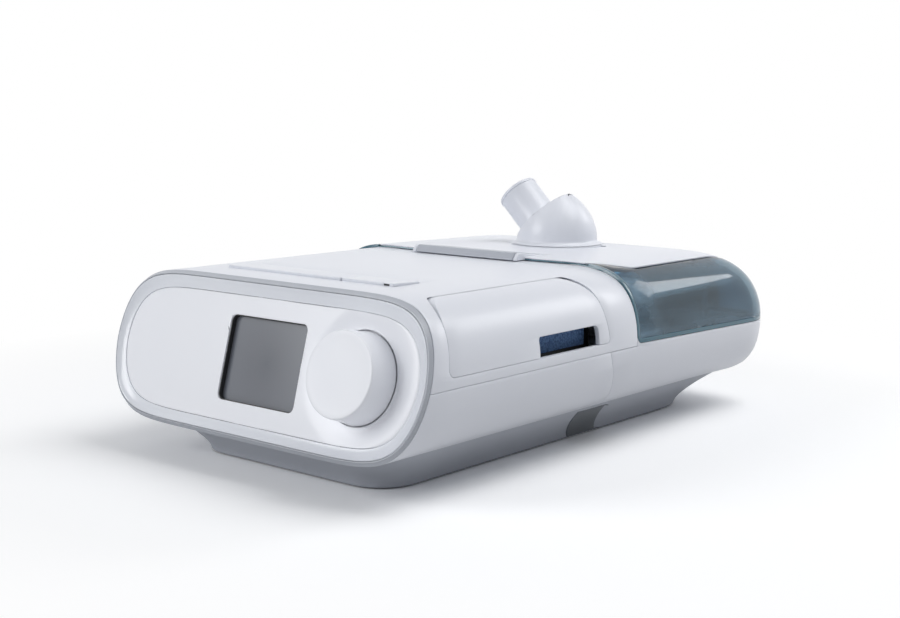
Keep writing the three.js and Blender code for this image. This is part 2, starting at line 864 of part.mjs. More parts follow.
// The plinth's outer form, drawn in by an inset. Its rim follows the body's underside.
function plinthForm(inset, bottom, rimRise) {
  const foot = roundedOutline([
    [-plinthFootHalfWidth + inset, plinthFootFront + inset, plinthFootCorner - inset],
    [plinthFootHalfWidth - inset, plinthFootFront + inset, plinthFootCorner - inset],
    [plinthFootHalfWidth - inset, plinthFootRear - inset, plinthFootCorner - inset],
    [-plinthFootHalfWidth + inset, plinthFootRear - inset, plinthFootCorner - inset],
  ]);
  const top = plinthOutline(-inset - gap);
  const rings = [
    foot.map(({ x, y }) => new THREE.Vector3(x, y, bottom)),
    top.map(({ x, y }) => new THREE.Vector3(x, y, undersideHeight(x, y))),
    top.map(({ x, y }) => new THREE.Vector3(x, y, undersideHeight(x, y) + rimRise)),
  ];
  return skin(rings, false);
}

const plinthFloor = plinthBottom + plinthWall;
const plinthTray = plinthForm(0, plinthBottom, plinthLip).subtract(
  plinthForm(plinthWall, plinthFloor, plinthLip + overrun),
);

function dockLatchOutline(margin) {
  return [
    new THREE.Vector2(dockLatchFront - margin, dockLatchTop + margin),
    new THREE.Vector2(dockLatchFront + dockLatchLean - margin, dockLatchBottom - margin),
    new THREE.Vector2(dockLatchFront + dockLatchLean + dockLatchWidth + margin, dockLatchBottom - margin),
    new THREE.Vector2(dockLatchFront + dockLatchWidth + margin, dockLatchTop + margin),
  ];
}

const dockLatchPocket = prism(dockLatchOutline(gap), "x", dockLatchInnerX - gap, beyond);

function footRecesses(y) {
  return union([-footX, footX].map((x) => post(footRadius + gap, [x, y], 0, plinthBottom + footRecess)));
}

const boardPosts = [
  [mainBoardLeft + 2 * boardPostRadius, mainBoardFront + 2 * boardPostRadius],
  [mainBoardRight - 2 * boardPostRadius, mainBoardFront + 2 * boardPostRadius],
  [mainBoardLeft + 2 * boardPostRadius, mainBoardRear - 2 * boardPostRadius],
  [mainBoardRight - 2 * boardPostRadius, mainBoardRear - 2 * boardPostRadius],
];
const screwPlaces = boardPosts.slice(0, 2);
const screwHeadTop = plinthBottom + screwRecess;

function therapyBase() {
  const posts = boardPosts.map((place) =>
    post(boardPostRadius, place, plinthBottom + halfGap, mainBoardHeight - gap),
  );
  const screwHoles = screwPlaces.flatMap((place) => [
    post(screwHeadRadius + gap, place, 0, screwHeadTop),
    post(screwRadius + gap, place, 0, screwHeadTop + screwLength + gap),
  ]);
  const tray = plinthTray.intersect(dockSide(-halfGap, false)).add(union(posts));
  return tray.subtract(dockLatchPocket).subtract(footRecesses(footFrontY)).subtract(union(screwHoles));
}

// The bulkhead that closes the therapy unit towards the humidifier: a slanted foot, a shelf and a wall.
function bulkheadOutline() {
  const wallRear = lidSeam - gap;
  const wallFront = wallRear - shellWall;
  const shelfBottom = seamHeight + gap;
  const shelfTop = shelfBottom + shellWall;
  const foot = sectionHeight - bodyRiseDown;
  return [
    new THREE.Vector2(wallRear, beyond),
    new THREE.Vector2(wallFront, beyond),
    new THREE.Vector2(wallFront, shelfTop),
    new THREE.Vector2(dockSeam - shellWall - gap, shelfTop),
    new THREE.Vector2(dockSeamAt(foot) - shellWall - gap, foot),
    new THREE.Vector2(dockSeamAt(foot) - gap, foot),
    new THREE.Vector2(dockSeam - gap, shelfBottom),
    new THREE.Vector2(wallRear, shelfBottom),
  ];
}

const portX = blowerX - scrollRadius + ductHalfWidth;

function rearPanel() {
  const plate = fittedForm.intersect(prism(bulkheadOutline(), "x", -beyond, beyond));
  const port = bar(ductBoreRadius, [portX, dockSeam, ductPortHeight], [portX, beyond, ductPortHeight]);
  const plinthRoom = plinthForm(-gap, 0, plinthLip + gap);
  return plate.subtract(port).subtract(plinthRoom);
}

// Buttons on top

function barPiece(left, right, rise = barRise) {
  const outline = roundedOutline([
    [barFront, bodyTop - barSkirt],
    [barRear, bodyTop - barSkirt],
    [barRear, bodyTop + barRearRise],
    [barFront, bodyTop + rise, barRise / 2],
  ]);
  return prism(outline, "x", left, right);
}

function buttonBoard() {
  const halfWidth = barHalfWidth + buttonBoardMargin;
  return block(
    [-halfWidth, barFront - 2 * buttonBoardMargin, boardTop - boardThickness],
    [halfWidth, barRear + 2 * buttonBoardMargin, boardTop],
  );
}

const barMiddle = barFront + barDepth / 2;

function tactSwitch(x) {
  return post(switchRadius, [x, barMiddle], boardTop + gap, boardTop + gap + switchHeight);
}

// Filter door and filters

const slotCut = prism(
  roundedOutline([
    [slotFront, doorBottom - overrun],
    [slotRear, doorBottom - overrun],
    [slotRear, slotTop, slotCorner],
    [slotFront, slotTop, slotCorner],
  ]),
  "x",
  doorFoldX,
  beyond,
);

function filterDoor() {
  const doorShell = outerForm.subtract(bodyForm(doorWall, housingDepth - overrun));
  const outline = doorOutline(-halfGap, doorTopCorner + doorSwingEase);
  const region = prism(outline, "x", doorFoldX + halfGap, beyond);
  return doorShell.intersect(region).subtract(slotCut);
}

const filterInnerX = filterOuterX - filterFrameDepth;
const filterFront = slotFront - filterFrameMargin;
const filterRear = slotRear + filterFrameMargin;
const filterBottom = seamHeight + 2 * gap + filterFrameWall;

function filterFrame() {
  const wall = filterFrameWall;
  const rim = block(
    [filterInnerX, filterFront, filterBottom - wall],
    [filterOuterX, filterRear, filterFrameTop],
  );
  const room = block(
    [filterInnerX - overrun, filterFront + wall, filterBottom],
    [filterOuterX + overrun, filterRear - wall, filterFrameTop - wall],
  );
  const shelf = block(
    [filterInnerX, filterFront, filterBottom - wall],
    [sideDistance(filterBottom, shellWall) - gap, filterRear, filterBottom - wall / 2],
  );
  return rim.subtract(room).add(shelf);
}

function filterPad(outerX, thickness) {
  const wall = filterFrameWall + gap;
  return block(
    [outerX - thickness, filterFront + wall, filterBottom + gap],
    [outerX, filterRear - wall, filterFrameTop - wall],
  );
}

// Card door, card and socket

function cardDoor() {
  const doorShell = outerForm.subtract(bodyForm(doorWall, housingDepth - overrun));
  return doorShell.intersect(prism(cardDoorOutline(-halfGap), "x", -beyond, -bodyHalfWidth / 2));
}

const cardMiddle = (cardDoorFront + cardDoorRear) / 2;
const cardInnerX = -cardOuterX + cardLength;

function sdCard() {
  return block(
    [-cardOuterX, cardMiddle - cardWidth / 2, cardHeight],
    [cardInnerX, cardMiddle + cardWidth / 2, cardHeight + cardThickness],
  );
}

function cardSocket() {
  const halfRoom = cardWidth / 2 + gap;
  const mouth = -cardOuterX + socketSetBack;
  const halfBody = halfRoom + socketWall;
  const body = block(
    [mouth, cardMiddle - halfBody, cardHeight - gap - socketWall],
    [cardInnerX + gap + socketWall, cardMiddle + halfBody, cardHeight + cardThickness + gap + socketWall],
  );
  const room = block(
    [mouth - overrun, cardMiddle - halfRoom, cardHeight - gap],
    [cardInnerX + gap, cardMiddle + halfRoom, cardHeight + cardThickness + gap],
  );
  const hanger = block(
    [cardInnerX + gap, cardMiddle - socketHangerWidth / 2, cardHeight],
    [cardInnerX + gap + socketWall, cardMiddle + socketHangerWidth / 2, bodyTop - shellWall - 2 * gap],
  );
  return body.subtract(room).add(hanger);
}

// Power inlet

function powerInlet() {
  const along = (from, to, radius) => bar(radius, [-from, inletY, inletHeight], [-to, inletY, inletHeight]);
  const boreEnd = inletFaceX - inletBoreDepth;
  const nose = along(inletFaceX, inletShoulderX - gap, inletNoseRadius);
  const body = along(inletShoulderX, inletBackX, inletBodyRadius);
  const bore = along(inletFaceX + overrun, boreEnd, inletBoreRadius);
  const pin = along(boreEnd + inletPinLength, boreEnd - overrun, inletPinRadius);
  return nose.add(body).subtract(bore).add(pin);
}

function mainBoard() {
  return block(
    [mainBoardLeft, mainBoardFront, mainBoardHeight],
    [mainBoardRight, mainBoardRear, mainBoardHeight + boardThickness],
  );
}

// Blower and air path

const blowerPlace = [blowerX, blowerY];
const scrollTop = scrollBottom + scrollHeight;
const outletRear = blowerY + scrollRadius + scrollWall;
const channelHalf = ductHalfWidth - ductWall;
const channelBottom = scrollBottom + scrollWall;
const channelTop = scrollTop - scrollWall;

function blowerScroll() {
  const cup = post(scrollRadius, blowerPlace, scrollBottom, scrollTop, fineSteps);
  const stub = block(
    [portX - ductHalfWidth, blowerY, scrollBottom],
    [portX + ductHalfWidth, outletRear, scrollTop],
  );
  const room = post(scrollRadius - scrollWall, blowerPlace, channelBottom, scrollTop + overrun, fineSteps);
  const channel = block(
    [portX - channelHalf, blowerY, channelBottom],
    [portX + channelHalf, outletRear + overrun, channelTop],
  );
  const shaftHole = post(motorShaftRadius + gap, blowerPlace, 0, channelBottom + overrun);
  return cup.add(stub).subtract(room).subtract(channel).subtract(shaftHole);
}

function blowerCover() {
  const bottom = scrollTop + gap;
  const disc = post(scrollRadius, blowerPlace, bottom, bottom + blowerCoverThickness, fineSteps);
  const collarTop = bottom + blowerCoverThickness + blowerInletCollar;
  const collar = post(blowerInletRadius + scrollWall, blowerPlace, bottom, collarTop);
  return disc.add(collar).subtract(post(blowerInletRadius, blowerPlace, 0, collarTop + overrun));
}

function blowerImpeller() {
  const bottom = channelBottom + impellerClearance;
  const plateTop = bottom + impellerPlate;
  const bladeTop = plateTop + impellerBladeHeight;
  const plate = post(impellerRadius, blowerPlace, bottom, plateTop, fineSteps);
  const hub = post(impellerHubRadius, blowerPlace, bottom, bladeTop);
  const shaft = post(motorShaftRadius, blowerPlace, scrollBottom / 2, bottom + halfGap);
  const blades = Array.from({ length: impellerBlades }, (_, i) => {
    const angle = (i / impellerBlades) * 2 * Math.PI;
    const blade = new THREE.BoxGeometry(
      impellerRadius - impellerHubRadius,
      impellerBladeThickness,
      impellerBladeHeight + halfGap,
    );
    const out = (impellerRadius + impellerHubRadius) / 2 - halfGap;
    blade.translate(out, 0, bladeTop - impellerBladeHeight / 2 - halfGap);
    return toSolid(blade.rotateZ(angle).translate(blowerX, blowerY, 0));
  });
  return union([plate, hub, shaft, ...blades]);
}

function blowerMotor() {
  const can = post(motorRadius, blowerPlace, plinthFloor + gap, scrollBottom - gap);
  return can.subtract(post(motorShaftRadius + gap, blowerPlace, scrollBottom / 2 - gap, scrollBottom));
}

function ring(inner, outer, place, low, high) {
  const hole = post(inner, place, low - overrun, high + overrun);
  return post(outer, place, low, high, fineSteps).subtract(hole);
}

function blowerBoot() {
  const outer = bootInnerRadius + bootWall;
  return ring(bootInnerRadius, outer, blowerPlace, plinthFloor + gap, scrollBottom - gap);
}

function mufflerFoam() {
  const bottom = scrollTop + gap + blowerCoverThickness + gap;
  const inner = blowerInletRadius + scrollWall + gap;
  return ring(inner, inner + foamWall, blowerPlace, bottom, bottom + foamHeight);
}

function outletDuct() {
  const front = outletRear + gap;
  const rear = dockSeam - ductToSeam;
  const box = block([portX - ductHalfWidth, front, scrollBottom], [portX + ductHalfWidth, rear, ductTop]);
  const room = block(
    [portX - channelHalf, front + ductWall, channelBottom],
    [portX + channelHalf, rear - ductWall, ductTop - ductWall],
  );
  const mouth = block(
    [portX - channelHalf, front - overrun, channelBottom],
    [portX + channelHalf, front + 2 * ductWall, channelTop],
  );
  const pipeEnd = lidSeam - shellWall - 2 * gap;
  const pipe = bar(
    ductPortRadius,
    [portX, rear - ductWall / 2, ductPortHeight],
    [portX, pipeEnd, ductPortHeight],
  );
  const bore = bar(
    ductBoreRadius,
    [portX, rear - 2 * ductWall, ductPortHeight],
    [portX, pipeEnd + overrun, ductPortHeight],
  );
  return box.subtract(room).subtract(mouth).add(pipe).subtract(bore);
}

const dryBoxFront = lidSeam + halfGap + flangeDepth + gap;

function outletSeal() {
  const low = lidSeam + gap;
  const high = dryBoxFront - gap;
  const along = (radius, from, to) =>
    bar(radius, [portX, from, ductPortHeight], [portX, to, ductPortHeight]);
  const outer = along(ductBoreRadius + portSealWall, low, high);
  return outer.subtract(along(ductBoreRadius, low - overrun, high + overrun));
}

// Humidifier

// Height of the lid's rim, which drops a little towards the rear.
function lidRimAt(y) {
  const share = (y - lidSeam) / (bodyRear - lidSeam);
  return lidRimFront + (lidRimRear - lidRimFront) * share;
}

// Everything under the lid's rim, behind the therapy unit.
function underRim() {
  const low = -overrun;
  const top = shelfHeight;
  const outline = [
    new THREE.Vector2(dockSeamAt(low) + halfGap, low),
    new THREE.Vector2(beyond, low),
    new THREE.Vector2(beyond, lidRimAt(beyond) - halfGap),
    new THREE.Vector2(lidSeam + halfGap, lidRimFront - halfGap),
    new THREE.Vector2(lidSeam + halfGap, top),
    new THREE.Vector2(dockSeamAt(top) + halfGap, top),
  ];
  return prism(outline, "x", -beyond, beyond);
}

function overRim() {
  const outline = [
    new THREE.Vector2(lidSeam + halfGap, lidRimFront + halfGap),
    new THREE.Vector2(beyond, lidRimAt(beyond) + halfGap),
    new THREE.Vector2(beyond, beyond),
    new THREE.Vector2(lidSeam + halfGap, beyond),
  ];
  return prism(outline, "x", -beyond, beyond);
}

// The humidifier's own front wall: a slanted plate and a shelf under the therapy unit's overhang.
function humidifierFrontOutline() {
  const foot = sectionHeight - bodyRiseDown;
  const shelfBottom = shelfHeight - shellWall;
  return [
    new THREE.Vector2(dockSeamAt(foot) + halfGap, foot),
    new THREE.Vector2(dockSeamAt(foot) + halfGap + shellWall, foot),
    new THREE.Vector2(dockSeamAt(shelfBottom) + halfGap + shellWall, shelfBottom),
    new THREE.Vector2(tankFront - shellWall, shelfBottom),
    new THREE.Vector2(tankFront - shellWall, shelfHeight),
    new THREE.Vector2(dockSeamAt(shelfHeight) + halfGap, shelfHeight),
  ];
}

const hingeY = bodyRear + hingeStandOff;
const hingeHeight = lidRimRear;

function hingeSpan(radius, side, from, to) {
  return bar(radius, [side * from, hingeY, hingeHeight], [side * to, hingeY, hingeHeight]);
}

const hingeMiddleStart = hingeInnerX + hingeKnuckle + gap;
const hingeOuterStart = hingeMiddleStart + hingeMiddle + gap;
const hingeStarts = [hingeInnerX, hingeMiddleStart, hingeOuterStart];
const hingeEnds = [
  hingeInnerX + hingeKnuckle,
  hingeMiddleStart + hingeMiddle,
  hingeOuterStart + hingeKnuckle,
];

// A knuckle round the hinge line with the web that ties it to its shell.
function hingeKnuckles(spans, webLow, webHigh) {
  const pieces = [-1, 1].flatMap((side) =>
    spans.flatMap((i) => [
      hingeSpan(hingeRadius, side, hingeStarts[i], hingeEnds[i]),
      block(
        [Math.min(side * hingeStarts[i], side * hingeEnds[i]), bodyRear - shellWall / 2, webLow],
        [Math.max(side * hingeStarts[i], side * hingeEnds[i]), hingeY, webHigh],
      ),
    ]),
  );
  return union(pieces);
}

function hingeRelief(spans) {
  return union(
    [-1, 1].flatMap((side) =>
      spans.map((i) => hingeSpan(hingeRadius + gap, side, hingeStarts[i] - gap, hingeEnds[i] + gap)),
    ),
  );
}

const hingeBore = union(
  [-1, 1].map((side) =>
    hingeSpan(hingePinRadius + gap, side, hingeInnerX - gap, hingeEnds[2] + gap),
  ),
);

function humidifierShell() {
  const frontWall = outerForm.intersect(prism(humidifierFrontOutline(), "x", -beyond, beyond));
  const knuckles = hingeKnuckles([0, 2], hingeHeight - hingeWeb, hingeHeight - halfGap);
  return bodyShell
    .intersect(underRim())
    .add(frontWall)
    .subtract(plinthHole)
    .subtract(hingeRelief([1]))
    .add(knuckles)
    .subtract(hingeBore);
}

const tankPosts = [-tankPostX, tankPostX].flatMap((x) => [
  [x, tankFront + tankPostInset],
  [x, tankRear - tankPostInset],
]);

function humidifierBase() {
  const behind = prism(
    [
      new THREE.Vector2(dockSeamAt(0) + halfGap, 0),
      new THREE.Vector2(beyond, 0),
      new THREE.Vector2(beyond, seamHeight),
      new THREE.Vector2(dockSeamAt(seamHeight) + halfGap, seamHeight),
    ],
    "x",
    -beyond,
    beyond,
  );
  const posts = tankPosts.map((place) =>
    post(tankPostRadius, place, plinthBottom + halfGap, tankBottom - gap),
  );
  const trimmedPosts = union(posts).intersect(plinthForm(0, plinthBottom, beyond));
  const tray = plinthTray.intersect(behind).add(trimmedPosts);
  return tray.subtract(dockLatchPocket).subtract(footRecesses(footRearY));
}

function rubberFoot(x, y) {
  return post(footRadius, [x, y], 0, plinthBottom + footRecess - gap);
}

function baseScrew(place) {
  const head = post(screwHeadRadius, place, plinthBottom, screwHeadTop - gap);
  return head.add(post(screwRadius, place, plinthBottom, screwHeadTop + screwLength));
}

function dockingLatch() {
  const plate = plinthForm(0, plinthBottom, plinthLip).subtract(
    plinthForm(dockLatchThickness, plinthBottom - overrun, plinthLip + overrun),
  );
  return plate.intersect(prism(dockLatchOutline(0), "x", dockLatchInnerX, beyond));
}

function tankOutline(margin) {
  const halfWidth = tankHalfWidth + margin;
  const corner = tankCorner + margin;
  return roundedOutline([
    [-halfWidth, tankFront - margin, corner],
    [halfWidth, tankFront - margin, corner],
    [halfWidth, tankRear + margin, corner],
    [-halfWidth, tankRear + margin, corner],
  ]);
}

function plateOutline() {
  return roundedOutline([
    [-plateHalfWidth, tankFront + plateMargin, plateCorner],
    [plateHalfWidth, tankFront + plateMargin, plateCorner],
    [plateHalfWidth, tankRear - plateMargin, plateCorner],
    [-plateHalfWidth, tankRear - plateMargin, plateCorner],
  ]);
}

function waterTank() {
  const outer = prism(tankOutline(0), "z", tankBottom, tankTop);
  return outer.subtract(prism(tankOutline(-tankWall), "z", tankBottom + tankWall, tankTop + overrun));
}

const tankPlateBottom = tankBottom - gap - plateThickness;
const heaterTop = tankPlateBottom - gap;
const heaterBottom = heaterTop - heaterThickness;

function tankSeal() {
  const low = tankTop + gap;
  const high = low + tankSealThickness;
  const room = prism(tankOutline(-2 * tankWall), "z", low - overrun, high + overrun);
  return prism(tankOutline(0), "z", low, high).subtract(room);
}

const tankLidBottom = tankTop + tankSealThickness + 2 * gap;
const tankLidTop = tankLidBottom + tankLidThickness;

function tankLid() {
  const plate = prism(tankOutline(0), "z", tankLidBottom, tankLidTop);
  return plate.subtract(post(tankPortRadius, [0, elbowY], tankLidBottom - overrun, tankLidTop + overrun));
}

function dryBox() {
  const rear = tankFront - gap;
  const bottom = shelfHeight + gap;
  const left = portX - dryBoxHalfWidth;
  const right = portX + dryBoxHalfWidth;
  const outer = block([left, dryBoxFront, bottom], [right, rear, dryBoxTop - dryBoxWall]);
  const room = block(
    [left + dryBoxWall, dryBoxFront + dryBoxWall, bottom + dryBoxWall],
    [right - dryBoxWall, rear - dryBoxWall, dryBoxTop - 2 * dryBoxWall],
  );
  const port = bar(ductBoreRadius, [portX, dockSeam, ductPortHeight], [portX, beyond, ductPortHeight]);
  return outer.subtract(room).subtract(port);
}

// Lid

// Plan outline of the white top cover: narrow at the latch, flared, then a spine down to the hinge.
function coverOutline(margin) {
  const corners = [
    [coverFrontHalfWidth + margin, lidSeam - overrun],
    [coverFrontHalfWidth + margin, lidSeam + shellWall],
    [coverKinkHalfWidth + margin, coverKinkY, coverCornerRound],
    [coverRearHalfWidth + margin, coverShoulderY, coverCornerRound],
    [spineHalfWidth + margin, spineShoulderY, coverCornerRound],
    [spineHalfWidth + margin, beyond],
  ];
  const mirrored = corners.map(([x, y, round = 0]) => [-x, y, round]).reverse();
  return roundedOutline([...corners, ...mirrored]);
}

function lidCover() {
  const outer = bodyForm(0, housingDepth, lidCrown);
  const inner = bodyForm(coverWall, housingDepth - overrun, lidCrown);
  const shape = outer.subtract(inner).intersect(prism(coverOutline(-halfGap), "z", 0, beyond));
  const latchRoom = block(
    [-latchHalfWidth - gap, -beyond, sectionHeight],
    [latchHalfWidth + gap, latchRear + 2 * gap, beyond],
  );
  const knuckles = hingeKnuckles([1], hingeHeight + halfGap, hingeHeight + hingeWeb);
  return shape
    .intersect(overRim())
    .subtract(latchRoom)
    .subtract(hingeRelief([0, 2]))
    .add(knuckles)
    .subtract(hingeBore)
    .subtract(post(neckRadius + gap, [0, elbowY], sectionHeight, beyond));
}

function humidifierLid() {
  const outer = bodyForm(0, housingDepth, lidCrown);
  const glass = outer.subtract(bodyForm(glassWall, housingDepth - overrun, lidCrown));
  const sides = glass.subtract(prism(coverOutline(halfGap), "z", 0, beyond));
  const underFrame = bodyForm(underFrameTop, housingDepth, lidCrown)
    .subtract(bodyForm(underFrameBottom, housingDepth - overrun, lidCrown))
    .intersect(prism(coverOutline(underFrameOverlap), "z", 0, beyond));
  const flange = outer
    .subtract(bodyForm(flangeHeight, housingDepth - overrun, lidCrown))
    .subtract(prism(coverOutline(halfGap), "z", sectionHeight + bodyRiseUp - shellWall, beyond))
    .intersect(block([-beyond, lidSeam + halfGap, 0], [beyond, lidSeam + halfGap + flangeDepth, beyond]));
  const latchRoom = block(
    [-latchHalfWidth - gap, -beyond, bodyTop],
    [latchHalfWidth + gap, latchRear + 2 * gap, beyond],
  );
  return sides
    .add(underFrame)
    .add(flange)
    .intersect(overRim())
    .subtract(latchRoom)
    .subtract(hingeRelief([0, 1, 2]))
    .subtract(post(neckRadius + gap, [0, elbowY], sectionHeight, beyond));
}

const latchBottom = bodyTop + gap + halfGap / 2;

function lidLatch() {
  const outline = roundedOutline([
    [latchFront, latchBottom],
    [latchRear, latchBottom],
    [latchRear, lidTop],
    [latchFront + latchNose, latchBottom + latchRise, latchNose / 2],
    [latchFront, latchBottom + latchRise - halfGap, latchRise / 4],
  ]);
  return prism(outline, "x", -latchHalfWidth, latchHalfWidth);
}

function lidSeal() {
  const top = lidTop - underFrameBottom - gap;
  return ring(neckRadius + gap, neckRadius + gap + sealWall, [0, elbowY], tankLidTop + gap, top);
}

function elbowCollar() {
  const low = lidTop + gap;
  return ring(neckRadius + gap, collarRadius, [0, elbowY], low, low + collarThickness);
}

const elbowFoot = lidTop + 2 * gap + collarThickness;

function outletElbow() {
  const dome = Array.from({ length: domeSteps }, (_, i) => {
    const share = (i + 1) / domeSteps;
    const low = elbowFoot + elbowFootRise;
    const height = low + (domeCentreHeight + domeRise - low) * Math.sin((share * Math.PI) / 2);
    const lift = Math.min(1, (height - domeCentreHeight) / domeRise);
    return [i === domeSteps - 1 ? 0 : domeRadius * (1 - lift ** 2) ** domePower, height];
  });
  const profile = [
    [0, elbowFoot],
    [elbowFootRadius, elbowFoot],
    [(elbowFootRadius + domeRadius) / 2, elbowFoot + elbowFootRise / 3],
    [domeRadius, elbowFoot + elbowFootRise],
    ...dome,
  ];
  const along = (distance) => [
    -distance * Math.SQRT1_2,
    elbowY,
    spoutOriginHeight + distance * Math.SQRT1_2,
  ];
  const spout = bar(spoutRadius, along(spoutStart), along(spoutLength), fineSteps);
  const rimStart = along(spoutLength - 2 * spoutRim);
  const rim = bar(spoutRadius + spoutRim / 2, rimStart, along(spoutLength), fineSteps);
  const spoutBore = bar(spoutBoreRadius, along(spoutRim), along(spoutLength + overrun));
  const neckEnd = elbowFoot - neckDrop;
  const neck = post(neckRadius, [0, elbowY], neckEnd, elbowFoot + overrun);
  const neckBore = post(neckBoreRadius, [0, elbowY], neckEnd - overrun, elbowFoot + neckBoreRise);
  const facePlane = -(spoutOriginHeight * Math.SQRT1_2 + hoodFace);
  const hood = turned(profile, [0, elbowY]).trimByPlane([Math.SQRT1_2, 0, -Math.SQRT1_2], facePlane);
  const body = hood.add(spout).add(rim).add(neck);
  return body.subtract(neckBore).subtract(spoutBore);
}

// Assembly

const therapyUnit = new THREE.Group();
therapyUnit.add(
  frontGroup,
  toMesh("upper_housing", upperHousing(), whitePlastic),
  toMesh("lower_housing", lowerHousing(), whitePlastic),
  toMesh("therapy_base", therapyBase(), greyPlastic),
  toMesh("rear_panel", rearPanel(), whitePlastic),
  toMesh("therapy_button", barPiece(-barHalfWidth, buttonSplit - halfGap), whitePlastic),
  toMesh("ramp_button", barPiece(buttonSplit + halfGap, sensorSplit - halfGap), whitePlastic),
  toMesh("light_sensor", barPiece(sensorSplit + halfGap, barHalfWidth, barRise / 2), blackPlastic),
  toMesh("button_board", buttonBoard(), circuitGreen),
  toMesh("therapy_switch", tactSwitch((buttonSplit - barHalfWidth) / 2), blackPlastic),
  toMesh("ramp_switch", tactSwitch((buttonSplit + sensorSplit) / 2), blackPlastic),
  toMesh("filter_door", filterDoor(), whitePlastic),
  toMesh("filter_frame", filterFrame(), blackPlastic),
  toMesh("pollen_filter", filterPad(filterOuterX - gap, pollenThickness), blueFoam),
  toMesh("fine_filter", filterPad(filterOuterX - 2 * gap - pollenThickness, fineThickness), whiteFelt),
  toMesh("sd_card_door", cardDoor(), whitePlastic),
  toMesh("sd_card", sdCard(), blackPlastic),
  toMesh("sd_card_socket", cardSocket(), greyPlastic),
  toMesh("power_inlet", powerInlet(), blackPlastic),
  toMesh("main_board", mainBoard(), circuitGreen),
  toMesh("blower_scroll", blowerScroll(), greyPlastic),
  toMesh("blower_cover", blowerCover(), greyPlastic),
  toMesh("blower_impeller", blowerImpeller(), whitePlastic),
  toMesh("blower_motor", blowerMotor(), steel),
  toMesh("blower_boot", blowerBoot(), silicone),
  toMesh("muffler_foam", mufflerFoam(), foamGrey),
  toMesh("outlet_duct", outletDuct(), greyPlastic),
  toMesh("outlet_seal", outletSeal(), silicone),
);
screwPlaces.forEach((place, i) => {
  therapyUnit.add(toMesh(`base_screw_${i + 1}`, baseScrew(place), steel));
});

const lid = new THREE.Group();
lid.add(
  toMesh("humidifier_lid", humidifierLid(), smokyPlastic),
  toMesh("lid_cover", lidCover(), whitePlastic),
  toMesh("lid_latch", lidLatch(), latchGrey),
  toMesh("lid_seal", lidSeal(), silicone),
  toMesh("elbow_collar", elbowCollar(), greyPlastic),
  toMesh("outlet_elbow", outletElbow(), whitePlastic),
);

const humidifier = new THREE.Group();
humidifier.add(
  lid,
  toMesh("humidifier_shell", humidifierShell(), whitePlastic),
  toMesh("humidifier_base", humidifierBase(), greyPlastic),
  toMesh("docking_latch", dockingLatch(), darkPlastic),
  toMesh("heater_plate", prism(plateOutline(), "z", heaterBottom, heaterTop), aluminium),
  toMesh(
    "heater_mount",
    prism(plateOutline(), "z", plinthFloor + gap, heaterBottom - plateTravel - gap),
    darkPlastic,
  ),
  toMesh("water_tank", waterTank(), clearPlastic),
  toMesh("tank_plate", prism(plateOutline(), "z", tankPlateBottom, tankBottom - gap), aluminium),
  toMesh("tank_seal", tankSeal(), silicone),
  toMesh("tank_lid", tankLid(), clearPlastic),
  toMesh("dry_box", dryBox(), greyPlastic),
);
[-1, 1].forEach((side) => {
  const pin = hingeSpan(hingePinRadius, side, hingeInnerX, hingeEnds[2]);
  humidifier.add(toMesh(side < 0 ? "hinge_pin_left" : "hinge_pin_right", pin, steel));
});
[footFrontY, footRearY].forEach((y, row) => {
  [-footX, footX].forEach((x, column) => {
    const name = `rubber_foot_${row * 2 + column + 1}`;
    (row === 0 ? therapyUnit : humidifier).add(toMesh(name, rubberFoot(x, y), rubber));
  });
});

const machine = new THREE.Group();
machine.add(therapyUnit, humidifier);
const extent = new THREE.Box3().setFromObject(machine, true);
const placed = new THREE.Group();
placed.add(machine);
machine.position.set(0, -(extent.min.y + extent.max.y) / 2, -extent.min.z);

export default placed;
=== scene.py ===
"""Bedside breathing-therapy machine with a docked humidifier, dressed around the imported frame.

The pieces are modelled in millimetres, with Y counted from the middle of the tilted front, and each
finished piece is then set into the frame in metres.
"""

from __future__ import annotations

import json
import logging
import math
from collections.abc import Iterator, Sequence
from contextlib import contextmanager
from dataclasses import dataclass
from enum import Enum

import bpy
from mathutils import Matrix, Vector


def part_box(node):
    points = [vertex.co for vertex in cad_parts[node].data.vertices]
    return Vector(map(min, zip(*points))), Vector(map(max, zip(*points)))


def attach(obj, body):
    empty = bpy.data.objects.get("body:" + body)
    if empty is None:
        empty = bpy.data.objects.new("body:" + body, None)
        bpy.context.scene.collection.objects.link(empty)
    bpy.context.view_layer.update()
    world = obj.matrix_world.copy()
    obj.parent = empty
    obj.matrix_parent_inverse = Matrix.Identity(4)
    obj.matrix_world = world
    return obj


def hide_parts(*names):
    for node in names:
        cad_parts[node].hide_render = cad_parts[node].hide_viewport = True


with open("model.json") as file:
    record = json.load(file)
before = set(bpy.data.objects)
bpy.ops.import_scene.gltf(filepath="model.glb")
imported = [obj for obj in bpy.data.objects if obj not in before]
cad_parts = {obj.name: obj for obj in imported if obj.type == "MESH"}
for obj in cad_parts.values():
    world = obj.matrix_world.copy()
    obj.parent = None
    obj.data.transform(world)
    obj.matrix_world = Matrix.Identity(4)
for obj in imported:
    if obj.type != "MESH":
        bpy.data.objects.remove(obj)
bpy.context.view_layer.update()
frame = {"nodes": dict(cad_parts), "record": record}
log = logging.getLogger("machine")

Obj = bpy.types.Object
Socket = bpy.types.NodeSocket
Pair = tuple[float, float]
Point = tuple[float, float, float]
Ring = list[Point]

MM = 0.001
WELD = 1e-4
BEYOND = 400.0
OVERRUN = 2.0
GAP = 0.3
HALF_LINE = 0.06
SEAM_GAP = 0.15
HULL_START = 2.6
WALL = 2.4
FOOT_FRONT_Y = 36.0
CENTRE_HEIGHT = 51.3
TILT = math.radians(15.5)


